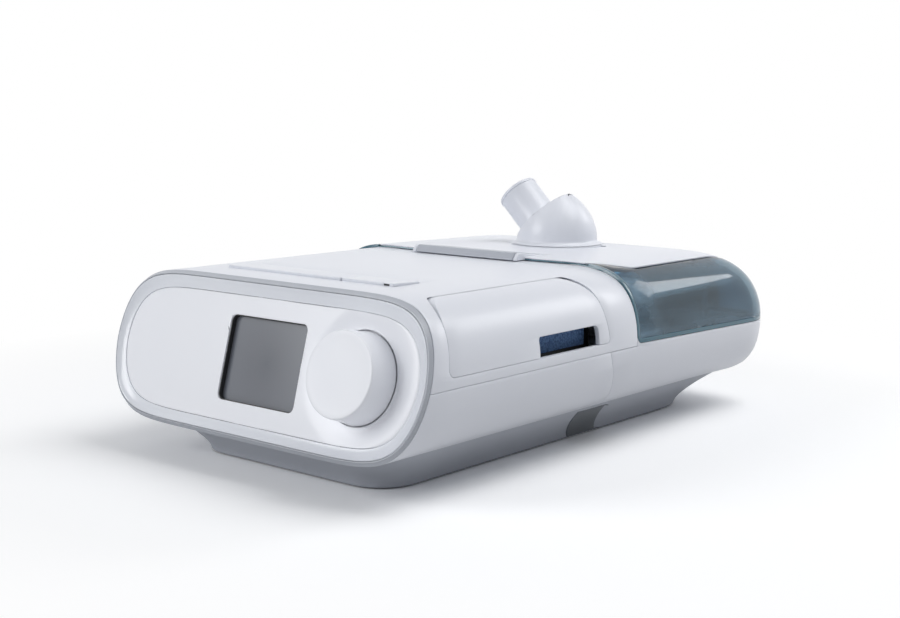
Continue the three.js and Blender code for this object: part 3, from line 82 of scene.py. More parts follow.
class Way(Enum):
    """The axis that an outline is pushed along."""

    X = "X"
    Z = "Z"

    def at(self, across: float, up: float, along: float) -> Point:
        """Place an outline's point and a distance along this axis in space."""
        return (along, across, up) if self is Way.X else (across, up, along)


class Cut(Enum):
    """How one solid is shaped by another."""

    AWAY = "DIFFERENCE"
    JOIN = "UNION"
    WITHIN = "INTERSECT"


class Carrier(Enum):
    """The bodies that visible pieces ride on."""

    UNIT = "therapy_unit"
    KNOB = "dial_knob"
    THERAPY_KEY = "therapy_key"
    RAMP_KEY = "ramp_key"
    FILTER_DOOR = "filter_door"
    CARD_DOOR = "card_door"
    LID = "lid"
    LATCH = "lid_latch"
    ELBOW = "elbow"
    DOCKING_LATCH = "docking_latch"


# Workshop


def deselect() -> None:
    """Deselect every object."""
    bpy.ops.object.select_all(action="DESELECT")


def focus(obj: Obj) -> None:
    """Select one object alone and make it the active one."""
    deselect()
    obj.select_set(True)
    bpy.context.view_layer.objects.active = obj


@contextmanager
def editing(obj: Obj) -> Iterator[None]:
    """Open an object in edit mode with its whole mesh selected."""
    focus(obj)
    bpy.ops.object.mode_set(mode="EDIT")
    bpy.ops.mesh.select_all(action="SELECT")
    yield
    bpy.ops.object.mode_set(mode="OBJECT")


def turn_outwards() -> None:
    """Turn all faces of the mesh in edit mode outwards."""
    bpy.ops.mesh.select_all(action="SELECT")
    bpy.ops.mesh.normals_make_consistent(inside=False)


def clean(obj: Obj) -> None:
    """Merge doubles, drop flat and loose bits, and turn all faces outwards."""
    with editing(obj):
        bpy.ops.mesh.remove_doubles(threshold=WELD)
        bpy.ops.mesh.dissolve_degenerate(threshold=WELD)
        bpy.ops.mesh.delete_loose()
        turn_outwards()


def skin(rings: Sequence[Ring], loop: bool = False) -> Obj:
    """Bend a grid into the closed skin that runs through rings of points.

    Args:
        rings: Rings with the same number of points each.
        loop: Whether the last ring joins the first. Otherwise a face closes each end.

    Returns:
        The new object, in millimetres.
    """
    count = len(rings[0])
    rows = [*rings, rings[0]] if loop else list(rings)
    last = len(rows) - 1
    bpy.ops.mesh.primitive_grid_add(x_subdivisions=count, y_subdivisions=last, size=1)
    obj = bpy.context.object
    for vertex in obj.data.vertices:
        column = round((vertex.co.x + 0.5) * count) % count
        vertex.co = rows[round((vertex.co.y + 0.5) * last)][column]
    with editing(obj):
        bpy.ops.mesh.remove_doubles(threshold=WELD)
        if not loop:
            bpy.ops.mesh.fill_holes(sides=0)
        turn_outwards()
    return obj


def prism(outline: Sequence[Pair], way: Way, low: float = -BEYOND, high: float = BEYOND) -> Obj:
    """Push an outline along an axis.

    Args:
        outline: The outline's points, in order.
        way: The axis that it is pushed along.
        low: Where the push starts.
        high: Where it ends.

    Returns:
        The new object, in millimetres.
    """
    bpy.ops.mesh.primitive_circle_add(vertices=len(outline), fill_type="NGON")
    obj = bpy.context.object
    for vertex, (across, up) in zip(obj.data.vertices, outline):
        vertex.co = way.at(across, up, low)
    with editing(obj):
        push = {"value": way.at(0, 0, high - low)}
        bpy.ops.mesh.extrude_region_move(TRANSFORM_OT_translate=push)
        turn_outwards()
    return obj


def block(low: Point, high: Point) -> Obj:
    """Add a box between two corners."""
    bpy.ops.mesh.primitive_cube_add(size=1)
    obj = bpy.context.object
    size = [high[i] - low[i] for i in range(3)]
    middle = [(high[i] + low[i]) / 2 for i in range(3)]
    obj.data.transform(Matrix.Translation(middle) @ Matrix.Diagonal((*size, 1)))
    return obj


def rod(radius: float, start: Sequence[float], end: Sequence[float], sides: int = 96) -> Obj:
    """Add a round bar between two points."""
    first, last = Vector(start), Vector(end)
    span = last - first
    bpy.ops.mesh.primitive_cylinder_add(vertices=sides, radius=radius, depth=span.length)
    obj = bpy.context.object
    turn = Vector((0, 0, 1)).rotation_difference(span).to_matrix().to_4x4()
    obj.data.transform(Matrix.Translation((first + last) / 2) @ turn)
    return obj


def spun(profile: Sequence[Pair], centre: Pair, steps: int = 128) -> Obj:
    """Spin a profile of radius and height about an upright line.

    Args:
        profile: The closed profile, from axis to axis or round a ring.
        centre: Where the upright line stands.
        steps: The number of steps in a full turn.

    Returns:
        The new object, in millimetres.
    """
    bpy.ops.mesh.primitive_circle_add(vertices=len(profile), fill_type="NOTHING")
    obj = bpy.context.object
    for vertex, (radius, height) in zip(obj.data.vertices, profile):
        vertex.co = (radius, 0, height)
    with editing(obj):
        full = {"steps": steps, "angle": math.tau, "use_auto_merge": True}
        bpy.ops.mesh.spin(center=(0, 0, 0), axis=(0, 0, 1), **full)
    clean(obj)
    obj.data.transform(Matrix.Translation((*centre, 0)))
    return obj


def copied(obj: Obj) -> Obj:
    """Copy an object with a mesh of its own."""
    twin = obj.copy()
    twin.data = obj.data.copy()
    bpy.context.scene.collection.objects.link(twin)
    return twin


def removed(obj: Obj) -> None:
    """Delete an object that was only a tool."""
    bpy.data.objects.remove(obj, do_unlink=True)


def shaped(obj: Obj, cut: Cut, *tools: Obj) -> Obj:
    """Shape a solid by others, which are used up.

    Args:
        obj: The solid that stays.
        cut: What is done to it.
        tools: The solids that shape it, in order.

    Returns:
        The shaped solid.
    """
    for tool in tools:
        modifier = obj.modifiers.new(cut.name, "BOOLEAN")
        modifier.operation = cut.value
        modifier.solver = "EXACT"
        modifier.object = tool
        focus(obj)
        bpy.ops.object.modifier_apply(modifier=modifier.name)
        removed(tool)
    return obj


def softened(obj: Obj, width: float, steps: int = 2, angle: float = 40) -> None:
    """Round the sharp edges of a solid by a width in millimetres."""
    modifier = obj.modifiers.new("Rounded edges", "BEVEL")
    modifier.width = width
    modifier.segments = steps
    modifier.limit_method = "ANGLE"
    modifier.angle_limit = math.radians(angle)
    modifier.use_clamp_overlap = False
    modifier.miter_outer = "MITER_ARC"
    focus(obj)
    bpy.ops.object.modifier_apply(modifier=modifier.name)


def arced(corners: Sequence[tuple[float, ...]], steps: int = 8) -> list[Pair]:
    """Round the corners of a polygon.

    Args:
        corners: Each corner's two coordinates, with its radius where it has one.
        steps: The number of steps in each arc.

    Returns:
        The points of the rounded outline.
    """
    points: list[Pair] = []
    for i, corner in enumerate(corners):
        here = Vector(corner[:2])
        if len(corner) == 2:
            points.append(tuple(here))
            continue
        back = (Vector(corners[i - 1][:2]) - here).normalized()
        ahead = (Vector(corners[(i + 1) % len(corners)][:2]) - here).normalized()
        half = back.angle(ahead) / 2
        middle = here + (back + ahead).normalized() * corner[2] / math.sin(half)
        spoke = here + back * corner[2] / math.tan(half) - middle
        turn = ahead.x * back.y - ahead.y * back.x
        sweep = math.copysign(math.pi - 2 * half, turn)
        for step in range(steps + 1):
            angle = sweep * step / steps
            cosine, sine = math.cos(angle), math.sin(angle)
            arm = (spoke.x * cosine - spoke.y * sine, spoke.x * sine + spoke.y * cosine)
            points.append(tuple(middle + Vector(arm)))
    return points


def mixed(start: float, end: float, share: float) -> float:
    """Return the value at a share of the way between two values."""
    return start + (end - start) * share


foot_low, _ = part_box("rubber_foot_1")
SHIFT = FOOT_FRONT_Y - foot_low.y / MM
PLACE = Matrix.Scale(MM, 4) @ Matrix.Translation((0, -SHIFT, 0))
FRONT = Matrix.Translation((0, 0, CENTRE_HEIGHT)) @ Matrix.Rotation(math.pi / 2 - TILT, 4, "X")


# Finishes


def rgb(code: str) -> tuple[float, float, float, float]:
    """Turn an sRGB hex value into the linear colour that a shader takes."""
    parts = [int(code[i : i + 2], 16) / 255 for i in (1, 3, 5)]
    linear = [p / 12.92 if p <= 0.04045 else ((p + 0.055) / 1.055) ** 2.4 for p in parts]
    return (*linear, 1.0)


class Shading:
    """The node tree of a material or a world while it is drawn."""

    def __init__(self, holder: bpy.types.Material | bpy.types.World) -> None:
        """Empty the holder's tree."""
        holder.use_nodes = True
        self.tree = holder.node_tree
        self.tree.nodes.clear()

    def add(
        self, kind: str, inputs: dict | None = None, output: int | str = 0, **settings: str | float
    ) -> Socket | None:
        """Add a shader node.

        Args:
            kind: The node's type, without the words that all types start with.
            inputs: Its inputs, each a value or another node's output.
            output: Which of its outputs is wanted.
            settings: The node's own properties.

        Returns:
            The wanted output, or nothing where the node has none.
        """
        made = self.tree.nodes.new(f"ShaderNode{kind}")
        for key, value in settings.items():
            setattr(made, key, value)
        for key, value in (inputs or {}).items():
            if isinstance(value, Socket):
                self.tree.links.new(value, made.inputs[key])
            else:
                made.inputs[key].default_value = value
        return made.outputs[output] if len(made.outputs) else None

    def mix(self, factor: Socket, first: str | Socket, second: str) -> Socket:
        """Mix two colours by a factor."""
        start = rgb(first) if isinstance(first, str) else first
        return self.add("Mix", {0: factor, 6: start, 7: rgb(second)}, 2, data_type="RGBA")

    def noise(self, place: Socket, size: float, detail: float, **more: float) -> Socket:
        """Add noise with features of a size in millimetres."""
        inputs = {"Vector": place, "Scale": 1 / (size * MM), "Detail": detail, **more}
        return self.add("TexNoise", inputs)

    def ramp(
        self, value: Socket, span: Pair, ends: Pair = (0.0, 1.0), kind: str = "LINEAR"
    ) -> Socket:
        """Map a span of a value onto the range between two ends."""
        inputs = {"Value": value, "From Min": span[0], "From Max": span[1]}
        inputs |= {"To Min": ends[0], "To Max": ends[1]}
        return self.add("MapRange", inputs, interpolation_type=kind)

    def combine(
        self, operation: str, first: Socket | float, second: Socket | float, **more: bool
    ) -> Socket:
        """Do a sum with two values."""
        return self.add("Math", {0: first, 1: second}, operation=operation, **more)

    def bump(self, height: Socket, depth: float, **more: bool) -> Socket:
        """Add bumps of a depth in millimetres."""
        return self.add("Bump", {"Height": height, "Distance": depth * MM, "Strength": 1.0}, **more)

    def seen(self) -> Socket:
        """Return 1 for the rays that show the background: camera, glossy and transmitted ones."""
        kinds = [f"Is {kind} Ray" for kind in ("Camera", "Glossy", "Transmission")]
        camera, glossy, through = (self.add("LightPath", output=kind) for kind in kinds)
        return self.combine("MAXIMUM", self.combine("MAXIMUM", camera, glossy), through)


@dataclass(frozen=True)
class Finish:
    """What a surface is made of. Each material draws its surface in its own way."""

    name: str

    def surface(self, shading: Shading, place: Socket) -> Socket:
        """Draw the surface over object coordinates."""
        raise NotImplementedError

    def build(self) -> bpy.types.Material:
        """Build the material."""
        material = bpy.data.materials.new(self.name)
        shading = Shading(material)
        place = shading.add("TexCoord", output="Object")
        shading.add("OutputMaterial", {"Surface": self.surface(shading, place)})
        return material


@dataclass(frozen=True)
class MouldedPlastic(Finish):
    """ABS or similar, injection moulded in a spark-eroded or polished tool.

    The eye sees one even colour with a slow drift in tone, and a fine grain that breaks up the
    highlight.
    """

    colour: str
    drift: str
    roughness: float
    roughness_span: float
    grain: float
    grain_depth: float
    ior: float = 1.53

    def surface(self, shading: Shading, place: Socket) -> Socket:
        """Draw a drift in tone over some 60 mm, from uneven cooling, and the tool's grain."""
        grain = shading.noise(place, self.grain, 3.0)
        ends = (self.roughness - self.roughness_span, self.roughness + self.roughness_span)
        inputs = {
            "Base Color": shading.mix(shading.noise(place, 60, 2.0), self.colour, self.drift),
            "Roughness": shading.ramp(grain, (0.0, 1.0), ends),
            "Normal": shading.bump(grain, self.grain_depth),
            "IOR": self.ior,
        }
        return shading.add("BsdfPrincipled", inputs)


@dataclass(frozen=True)
class SmokyPolycarbonate(Finish):
    """Smoky or clear polycarbonate, moulded in a polished tool.

    The eye looks through it into a dimmed inside, with sharp reflections on top and faint flow
    lines.
    """

    colour: str
    drift: str
    transmission: float
    roughness: float
    ior: float = 1.58

    def tint(self, shading: Shading, place: Socket, lines: Socket) -> Socket:
        """Draw the colour that the wall gives to what is behind it."""
        return shading.mix(lines, self.colour, self.drift)

    def surface(self, shading: Shading, place: Socket) -> Socket:
        """Draw the wall with flow lines some 20 mm long and 3 mm apart."""
        flow = shading.add("Mapping", {"Vector": place, "Scale": (1.0, 0.15, 1.0)})
        lines = shading.noise(flow, 3, 2.0)
        inputs = {
            "Base Color": self.tint(shading, place, lines),
            "Roughness": self.roughness,
            "Transmission Weight": self.transmission,
            "IOR": self.ior,
            "Normal": shading.bump(lines, 0.02),
        }
        return shading.add("BsdfPrincipled", inputs)


@dataclass(frozen=True)
class PaintedLightPolycarbonate(SmokyPolycarbonate):
    """Smoky polycarbonate under painted reflections and painted shade.

    The eye sees pale painted reflections in soft streaks, strongest at the front end and away from
    half height, and a painted darker outline along the top and at the rear, where the eye meets
    the wall nearly edge-on.
    """

    # Painted shade: the colour of the darker outline along the top and at the rear.
    deep: str = "#3f6c88"
    # Painted reflection: the pale colour laid over the wall in streaks.
    painted_reflection: str = "#8fa9bb"
    amount: Pair = (0.04, 0.36)
    dark_top: Pair = (78.5, 81.5)
    dark_rear: Pair = (270.0, 284.0)
    dark_rear_share: float = 0.8
    clear_height: float = 65.0
    clear_reach: float = 17.0
    front_end: Pair = (148.0, 176.0)

    def along(self, shading: Shading, place: Socket, span: Pair, ends: Pair) -> Socket:
        """Draw a gentle change along the body."""
        y = shading.add("SeparateXYZ", {"Vector": place}, "Y")
        span = ((span[0] - SHIFT) * MM, (span[1] - SHIFT) * MM)
        return shading.ramp(y, span, ends, "SMOOTHSTEP")

    def edge(self, shading: Shading, place: Socket) -> Socket:
        """Draw how near a place is to the painted dark outline."""
        height = shading.add("SeparateXYZ", {"Vector": place}, "Z")
        span = (self.dark_top[0] * MM, self.dark_top[1] * MM)
        top = shading.ramp(height, span, kind="SMOOTHSTEP")
        rear = self.along(shading, place, self.dark_rear, (0.0, self.dark_rear_share))
        return shading.combine("MAXIMUM", top, rear)

    def tint(self, shading: Shading, place: Socket, lines: Socket) -> Socket:
        """Draw the wall's colour with its painted darker outline."""
        wall = super().tint(shading, place, lines)
        return shading.mix(self.edge(shading, place), wall, self.deep)

    def surface(self, shading: Shading, place: Socket) -> Socket:
        """Draw the wall under painted reflections in streaks some 60 mm long and 14 mm high."""
        wall = super().surface(shading, place)
        streak_place = shading.add("Mapping", {"Vector": place, "Scale": (0.5, 0.25, 1.0)})
        streaks = shading.noise(streak_place, 14, 5.0, Roughness=0.6)
        height = shading.add("SeparateXYZ", {"Vector": place}, "Z")
        height = shading.combine("SUBTRACT", height, self.clear_height * MM)
        height = shading.combine("ABSOLUTE", height, 0.0)
        share = shading.combine(
            "ADD",
            shading.ramp(height, (0.0, self.clear_reach * MM), (0.06, 1.2)),
            self.along(shading, place, self.front_end, (2.1, 0.0)),
        )
        clear = shading.combine("SUBTRACT", 1.0, self.edge(shading, place))
        share = shading.combine("MULTIPLY", share, clear)
        streaks = shading.ramp(streaks, (0.35, 0.7), self.amount)
        share = shading.combine("MULTIPLY", streaks, share, use_clamp=True)
        # Painted reflections: a pale matte layer mixed over the wall.
        reflection_layer = shading.add("BsdfDiffuse", {"Color": rgb(self.painted_reflection)})
        return shading.add("MixShader", {0: share, 1: wall, 2: reflection_layer})


@dataclass(frozen=True)
class DisplayGlass(Finish):
    """Clear acrylic lens over an unlit liquid-crystal display.

    The eye sees a smooth grey that is a little darker in the middle, under a polished surface.
    """

    centre: str
    edge: str
    middle: Point
    reach: float

    def surface(self, shading: Shading, place: Socket) -> Socket:
        """Draw a grey that is darker towards the middle, and a trace of unevenness in the lens."""
        moved = [-value / self.reach for value in self.middle]
        inputs = {"Vector": place, "Location": moved, "Scale": (1 / self.reach,) * 3}
        moved = shading.add("Mapping", inputs)
        middle_share = shading.add("TexGradient", {"Vector": moved}, "Fac", gradient_type="SPHERICAL")
        inputs = {
            "Base Color": shading.mix(middle_share, self.edge, self.centre),
            "Roughness": 0.22,
            "IOR": 1.49,
            "Normal": shading.bump(shading.noise(place, 0.4, 1.0), 0.002),
        }
        return shading.add("BsdfPrincipled", inputs)


@dataclass(frozen=True)
class OpenFoam(Finish):
    """Open-cell polyurethane foam or pressed filter fibre.

    The eye sees small dark pores between lighter struts, and no highlight.
    """

    strut: str
    pore: str
    cell: float

    def surface(self, shading: Shading, place: Socket) -> Socket:
        """Draw the cells."""
        cells = shading.add("TexVoronoi", {"Vector": place, "Scale": 1 / (self.cell * MM)})
        inputs = {
            "Base Color": shading.mix(cells, self.strut, self.pore),
            "Roughness": 0.95,
            "Normal": shading.bump(cells, 0.4, invert=True),
        }
        return shading.add("BsdfPrincipled", inputs)


@dataclass(frozen=True)
class SheetMetal(Finish):
    """Rolled or turned metal.

    The eye sees fine parallel marks that stretch the highlight across them.
    """

    colour: str
    drift: str
    roughness: float
    mark: float

    def surface(self, shading: Shading, place: Socket) -> Socket:
        """Draw the marks."""
        drawn = shading.add("Mapping", {"Vector": place, "Scale": (1.0, 0.02, 1.0)})
        marks = shading.noise(drawn, self.mark, 4.0)
        ends = (self.roughness - 0.08, self.roughness + 0.12)
        inputs = {
            "Base Color": shading.mix(marks, self.colour, self.drift),
            "Roughness": shading.ramp(marks, (0.0, 1.0), ends),
            "Metallic": 1.0,
        }
        return shading.add("BsdfPrincipled", inputs)


@dataclass(frozen=True)
class CircuitLaminate(Finish):
    """Glass-fibre laminate under green solder mask.

    The eye sees a glossy green with slightly lighter copper runs beneath it.
    """

    mask: str
    run: str

    def surface(self, shading: Shading, place: Socket) -> Socket:
        """Draw the runs on a grid of 6 mm."""
        mask = rgb(self.mask)
        inputs = {"Vector": place, "Scale": 1 / (6 * MM), "Color1": mask, "Color2": mask}
        inputs |= {"Mortar": rgb(self.run), "Mortar Size": 0.03}
        runs = shading.add("TexBrick", inputs, offset=0.5)
        return shading.add("BsdfPrincipled", {"Base Color": runs, "Roughness": 0.4})


SCREEN_MIDDLE = tuple(PLACE @ FRONT @ Vector((2.1, -0.7, -4.5)))

FINISHES: dict[str, bpy.types.Material] = {
    finish.name: finish.build()
    for finish in (
        # Satin white ABS, moulded in a lightly etched tool: a soft wide highlight on a cool white.
        MouldedPlastic("satin_white_abs", "#e6e8ef", "#e0e3ea", 0.34, 0.03, 0.9, 0.004),
        # White ABS of the panel and the dial, the shells' white made one shade lighter: painted
        # light for the front lamp that they face.
        MouldedPlastic("front_lit_white_abs", "#f7f8fc", "#f1f3f9", 0.3, 0.03, 0.9, 0.003),
        # Gloss white ABS from a polished tool: the crisper highlight of the ring round the front.
        MouldedPlastic("gloss_white_abs", "#eef1f6", "#dfe2ea", 0.16, 0.02, 1.2, 0.002),
        # Matte grey ABS from a spark-eroded tool: the plinth's flat, slightly sandy grey.
        MouldedPlastic("spark_grey_abs", "#bcc0c8", "#b5b9c2", 0.5, 0.05, 0.7, 0.02),
        # Painted grey trim: even and half matte.
        MouldedPlastic("trim_grey_abs", "#b7bbc3", "#b0b4bc", 0.34, 0.03, 0.8, 0.006),
        # Darker grey ABS of the release latch, with the same grain as the plinth.
        MouldedPlastic("spark_dark_abs", "#777b80", "#707479", 0.52, 0.05, 0.7, 0.02),
        # Light grey ABS of the lid's latch bar: satin, a step darker than the white.
        MouldedPlastic("satin_light_grey_abs", "#b4b8c0", "#adb1ba", 0.36, 0.03, 0.9, 0.004),
        # Black ABS of frames and sockets: deep and half matte, so that recesses stay dark.
        MouldedPlastic("matte_black_abs", "#101214", "#16181a", 0.5, 0.05, 0.8, 0.01),
        # Nitrile rubber of the feet: dull, with a trace of dust in its grain.
        MouldedPlastic("nitrile_rubber", "#2b2d2f", "#35373a", 0.85, 0.08, 0.5, 0.04, 1.52),
        # Moulded silicone of seals: soft grey, slightly waxy.
        MouldedPlastic("moulded_silicone", "#9aa3ad", "#8f99a4", 0.55, 0.06, 1.0, 0.01, 1.43),
        # Smoky polycarbonate of the lid: dims what is behind it to a blue grey, under painted
        # reflections and a painted darker outline.
        PaintedLightPolycarbonate("smoky_polycarbonate", "#728f9f", "#698799", 0.9, 0.07, 1.38),
        # The same polycarbonate seen through its edge, where the longer path turns it teal.
        SmokyPolycarbonate("teal_polycarbonate_edge", "#4f8296", "#477a8e", 0.35, 0.1),
        # Clear polycarbonate of the water tank, with a slight blue cast.
        SmokyPolycarbonate("clear_polycarbonate", "#dfeaf0", "#d5e2ea", 0.95, 0.05),
        # The unlit display: an even slate grey that deepens towards the middle.
        DisplayGlass("display_glass", "#595d66", "#787c84", SCREEN_MIDDLE, 0.034),
        # Blue reticulated foam: 0.8 mm cells, drawn at 1 mm so that they show.
        OpenFoam("blue_filter_foam", "#7fa2d2", "#42608c", 1.0),
        # Pressed white filter fibre: pale, with shallow pores.
        OpenFoam("white_filter_fibre", "#eceee9", "#cfd2cc", 0.7),
        # Grey sound-absorbing foam: dark and open.
        OpenFoam("acoustic_foam", "#4a4d52", "#24262a", 1.4),
        # Bright steel of pins and screws: fine turning marks in a light grey.
        SheetMetal("bright_steel", "#c4c6ca", "#a9acb1", 0.3, 0.3),
        # Rolled aluminium of the heater plate: paler and broader marks.
        SheetMetal("rolled_aluminium", "#cfd2d5", "#b9bdc1", 0.35, 0.4),
        # Circuit boards: glossy green.
        CircuitLaminate("solder_masked_laminate", "#1f5a3c", "#2c7350"),
    )
}

SLOT_FINISHES = {
    "white_abs": "satin_white_abs",
    "grey_abs": "spark_grey_abs",
    "dark_abs": "spark_dark_abs",
    "latch_abs": "satin_light_grey_abs",
    "black_abs": "matte_black_abs",
    "screen_glass": "display_glass",
    "smoky_pc": "smoky_polycarbonate",
    "clear_pc": "clear_polycarbonate",
    "circuit_board": "solder_masked_laminate",
    "foot_rubber": "nitrile_rubber",
    "silicone": "moulded_silicone",
    "blue_filter": "blue_filter_foam",
    "white_filter": "white_filter_fibre",
    "acoustic_foam": "acoustic_foam",
    "steel": "bright_steel",
    "aluminium": "rolled_aluminium",
}


class Look(Enum):
    """The looks of the visible pieces: a finish and the name of one of the record's slots."""

    SATIN_WHITE = ("satin_white_abs", "white_abs")
    COLLAR_WHITE = ("satin_white_abs", "grey_abs")
    # Painted light: the shells' white made one shade lighter for the front, which faces the front
    # lamp.
    FRONT_LIT_WHITE = ("front_lit_white_abs", "white_abs")
    GLOSS_WHITE = ("gloss_white_abs", "white_abs")
    SPARK_GREY = ("spark_grey_abs", "grey_abs")
    TRIM_GREY = ("trim_grey_abs", "grey_abs")
    SPARK_DARK = ("spark_dark_abs", "dark_abs")
    LATCH_GREY = ("satin_light_grey_abs", "latch_abs")
    MATTE_BLACK = ("matte_black_abs", "black_abs")
    SMOKY_WALL = ("smoky_polycarbonate", "smoky_pc")
    TEAL_EDGE = ("teal_polycarbonate_edge", "smoky_pc")


def settled(
    obj: Obj, name: str, look: Look, body: Carrier, *nodes: str, smooth: float = 32
) -> None:
    """Finish a piece: name it, set it into the frame, dress it and let it ride.

    Args:
        obj: The modelled piece, in millimetres.
        name: The piece's name.
        look: Its finish and slot.
        body: The body that carries it.
        nodes: The frame's nodes that it stands for.
        smooth: The angle in degrees under which faces blend into each other.
    """
    finish, slot = look.value
    clean(obj)
    obj.name = name
    obj.data.name = name
    obj.data.transform(PLACE)
    focus(obj)
    bpy.ops.object.shade_smooth_by_angle(angle=math.radians(smooth))
    obj.data.materials.clear()
    obj.data.materials.append(FINISHES[finish])
    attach(obj, body.value)
    if nodes:
        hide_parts(*nodes)
    log.info("%s: %d faces, rides on %s", name, len(obj.data.polygons), body.value)


# Sub-assemblies


@dataclass
class HullForm:
    """The outer form of the body: a squared oval pushed from the tilted front to the round rear.

    It also knows the seams that part the body: the side seam's height, the lid's front seam and the
    slanted seam between the two units.
    """

    half_width: float = 96.5
    rise_up: float = 33.0
    rise_down: float = 34.5
    rear: float = 287.5
    seam_height: float = 49.1
    lid_seam: float = 148.0
    dock_seam: float = 126.0
    dock_slope: float = 0.5
    lid_crown: float = 1.7
    lid_fall: float = 2.0
    fall_length: float = 109.0
    top_round: Pair = (45.0, 32.0)
    side_round: Pair = (30.0, 22.0)
    low_round: Pair = (16.0, 16.0)
    sink_start: float = 230.0
    sink: float = 5.0
    width_power: float = 8.9
    upper_power: float = 2.0
    lower_power: float = 1.76
    rear_lower_power: float = 2.6
    quadrant_steps: int = 40
    crowding: float = 2.0
    straight_steps: int = 8
    fall_steps: int = 5
    rear_steps: int = 22

    @property
    def roof(self) -> float:
        """The height of the roof's middle line."""
        return CENTRE_HEIGHT + self.rise_up

    def dock_edge(self, height: float, offset: float) -> float:
        """Return where the slanted seam between the units stands at a height."""
        return self.dock_seam + (self.seam_height - height) * self.dock_slope + offset

    def section(
        self, half_width: float, up: float, down: float, low_power: float | None = None
    ) -> list[Pair]:
        """Return the points round a section, crowded towards its flat top and bottom."""
        points = []
        under = low_power or self.lower_power
        for quadrant in range(4):
            for step in range(self.quadrant_steps):
                share = step / self.quadrant_steps
                rising = quadrant % 2
                share = share**self.crowding if rising else 1 - (1 - share) ** self.crowding
                angle = (quadrant + share) * math.pi / 2
                cosine, sine = math.cos(angle), math.sin(angle)
                power, rise = (self.upper_power, up) if sine >= 0 else (under, down)
                across = half_width * abs(cosine) ** (2 / self.width_power)
                height = rise * abs(sine) ** (2 / power)
                points.append((math.copysign(across, cosine), math.copysign(height, sine)))
        return points

    def drop(self, y: float, size: Pair, inset: float) -> float:
        """Return how far a rounding of a length and depth has come in at a place along the body."""
        length, depth = size
        share = (y - self.rear + length) / (length - inset)
        share = min(1.0, max(0.0, share))
        return (depth - inset) * (1 - math.sqrt(1 - share**2))

    def waist(self, y: float) -> Pair:
        """Return the widest line's height and the lower half's power at a place along the body."""
        share = (max(0.0, y - self.sink_start) / (self.rear - self.sink_start)) ** 2
        power = mixed(self.lower_power, self.rear_lower_power, min(1.0, share))
        return CENTRE_HEIGHT - self.sink * share, power

    def reach(self, y: float, inset: float) -> Pair:
        """Return the lowest height and the half width at a place along the body."""
        low = CENTRE_HEIGHT - self.rise_down + inset + self.drop(y, self.low_round, inset)
        return low, self.half_width - inset - self.drop(y, self.side_round, inset)

    def section_at(self, y: float, inset: float, crown: float) -> list[Pair]:
        """Return the section's points, with their true heights, at a place along the body.

        Args:
            y: The place along the body.
            inset: How far the form is drawn in.
            crown: How far the top is raised. A raised top also falls towards the rear.

        Returns:
            The distance across and the height of each point.
        """
        fall = self.lid_fall * max(0.0, y - self.lid_seam) / self.fall_length if crown else 0.0
        top = self.roof + crown - inset - fall - self.drop(y, self.top_round, inset)
        middle, power = self.waist(y)
        low, half_width = self.reach(y, inset)
        points = self.section(half_width, top - middle, middle - low, power)
        return [(across, rise + middle) for across, rise in points]

    def solid(self, inset: float, crown: float = 0.0, start: float = HULL_START) -> Obj:
        """Model the form drawn in by an inset.

        Args:
            inset: How far it is drawn in.
            crown: How far its top is raised.
            start: How deep behind the front plane it starts.

        Returns:
            The closed solid.
        """
        round_start = self.rear - self.top_round[0]
        lean, offset = math.tan(TILT), start / math.cos(TILT)
        rings = []
        first = self.section_at(0.0, inset, crown)
        for step in range(self.straight_steps):
            share = step / self.straight_steps
            ring = []
            for across, height in first:
                front = (height - CENTRE_HEIGHT) * lean + offset
                ring.append((across, mixed(front, self.lid_seam, share), height))
            rings.append(ring)
        falling = range(self.fall_steps)
        places = [mixed(self.lid_seam, round_start, k / self.fall_steps) for k in falling]
        for step in range(self.rear_steps + 1):
            angle = step / self.rear_steps * math.pi / 2
            places.append(round_start + (self.top_round[0] - inset) * math.sin(angle))
        for y in places:
            points = self.section_at(y, inset, crown)
            rings.append([(across, y, height) for across, height in points])
        return skin(rings)

    def shell(self, wall: float) -> Obj:
        """Model the form as a hollow wall that is open towards the front."""
        return shaped(self.solid(0), Cut.AWAY, self.solid(wall, start=HULL_START - OVERRUN))

    def underside(self, x: float, y: float) -> float:
        """Return the height of the underside at a place in plan."""
        middle, power = self.waist(y)
        low, half_width = self.reach(y, 0)
        width_share = 1 - min(1.0, abs(x / half_width)) ** self.width_power
        return middle - (middle - low) * width_share ** (1 / power)


HULL = HullForm()


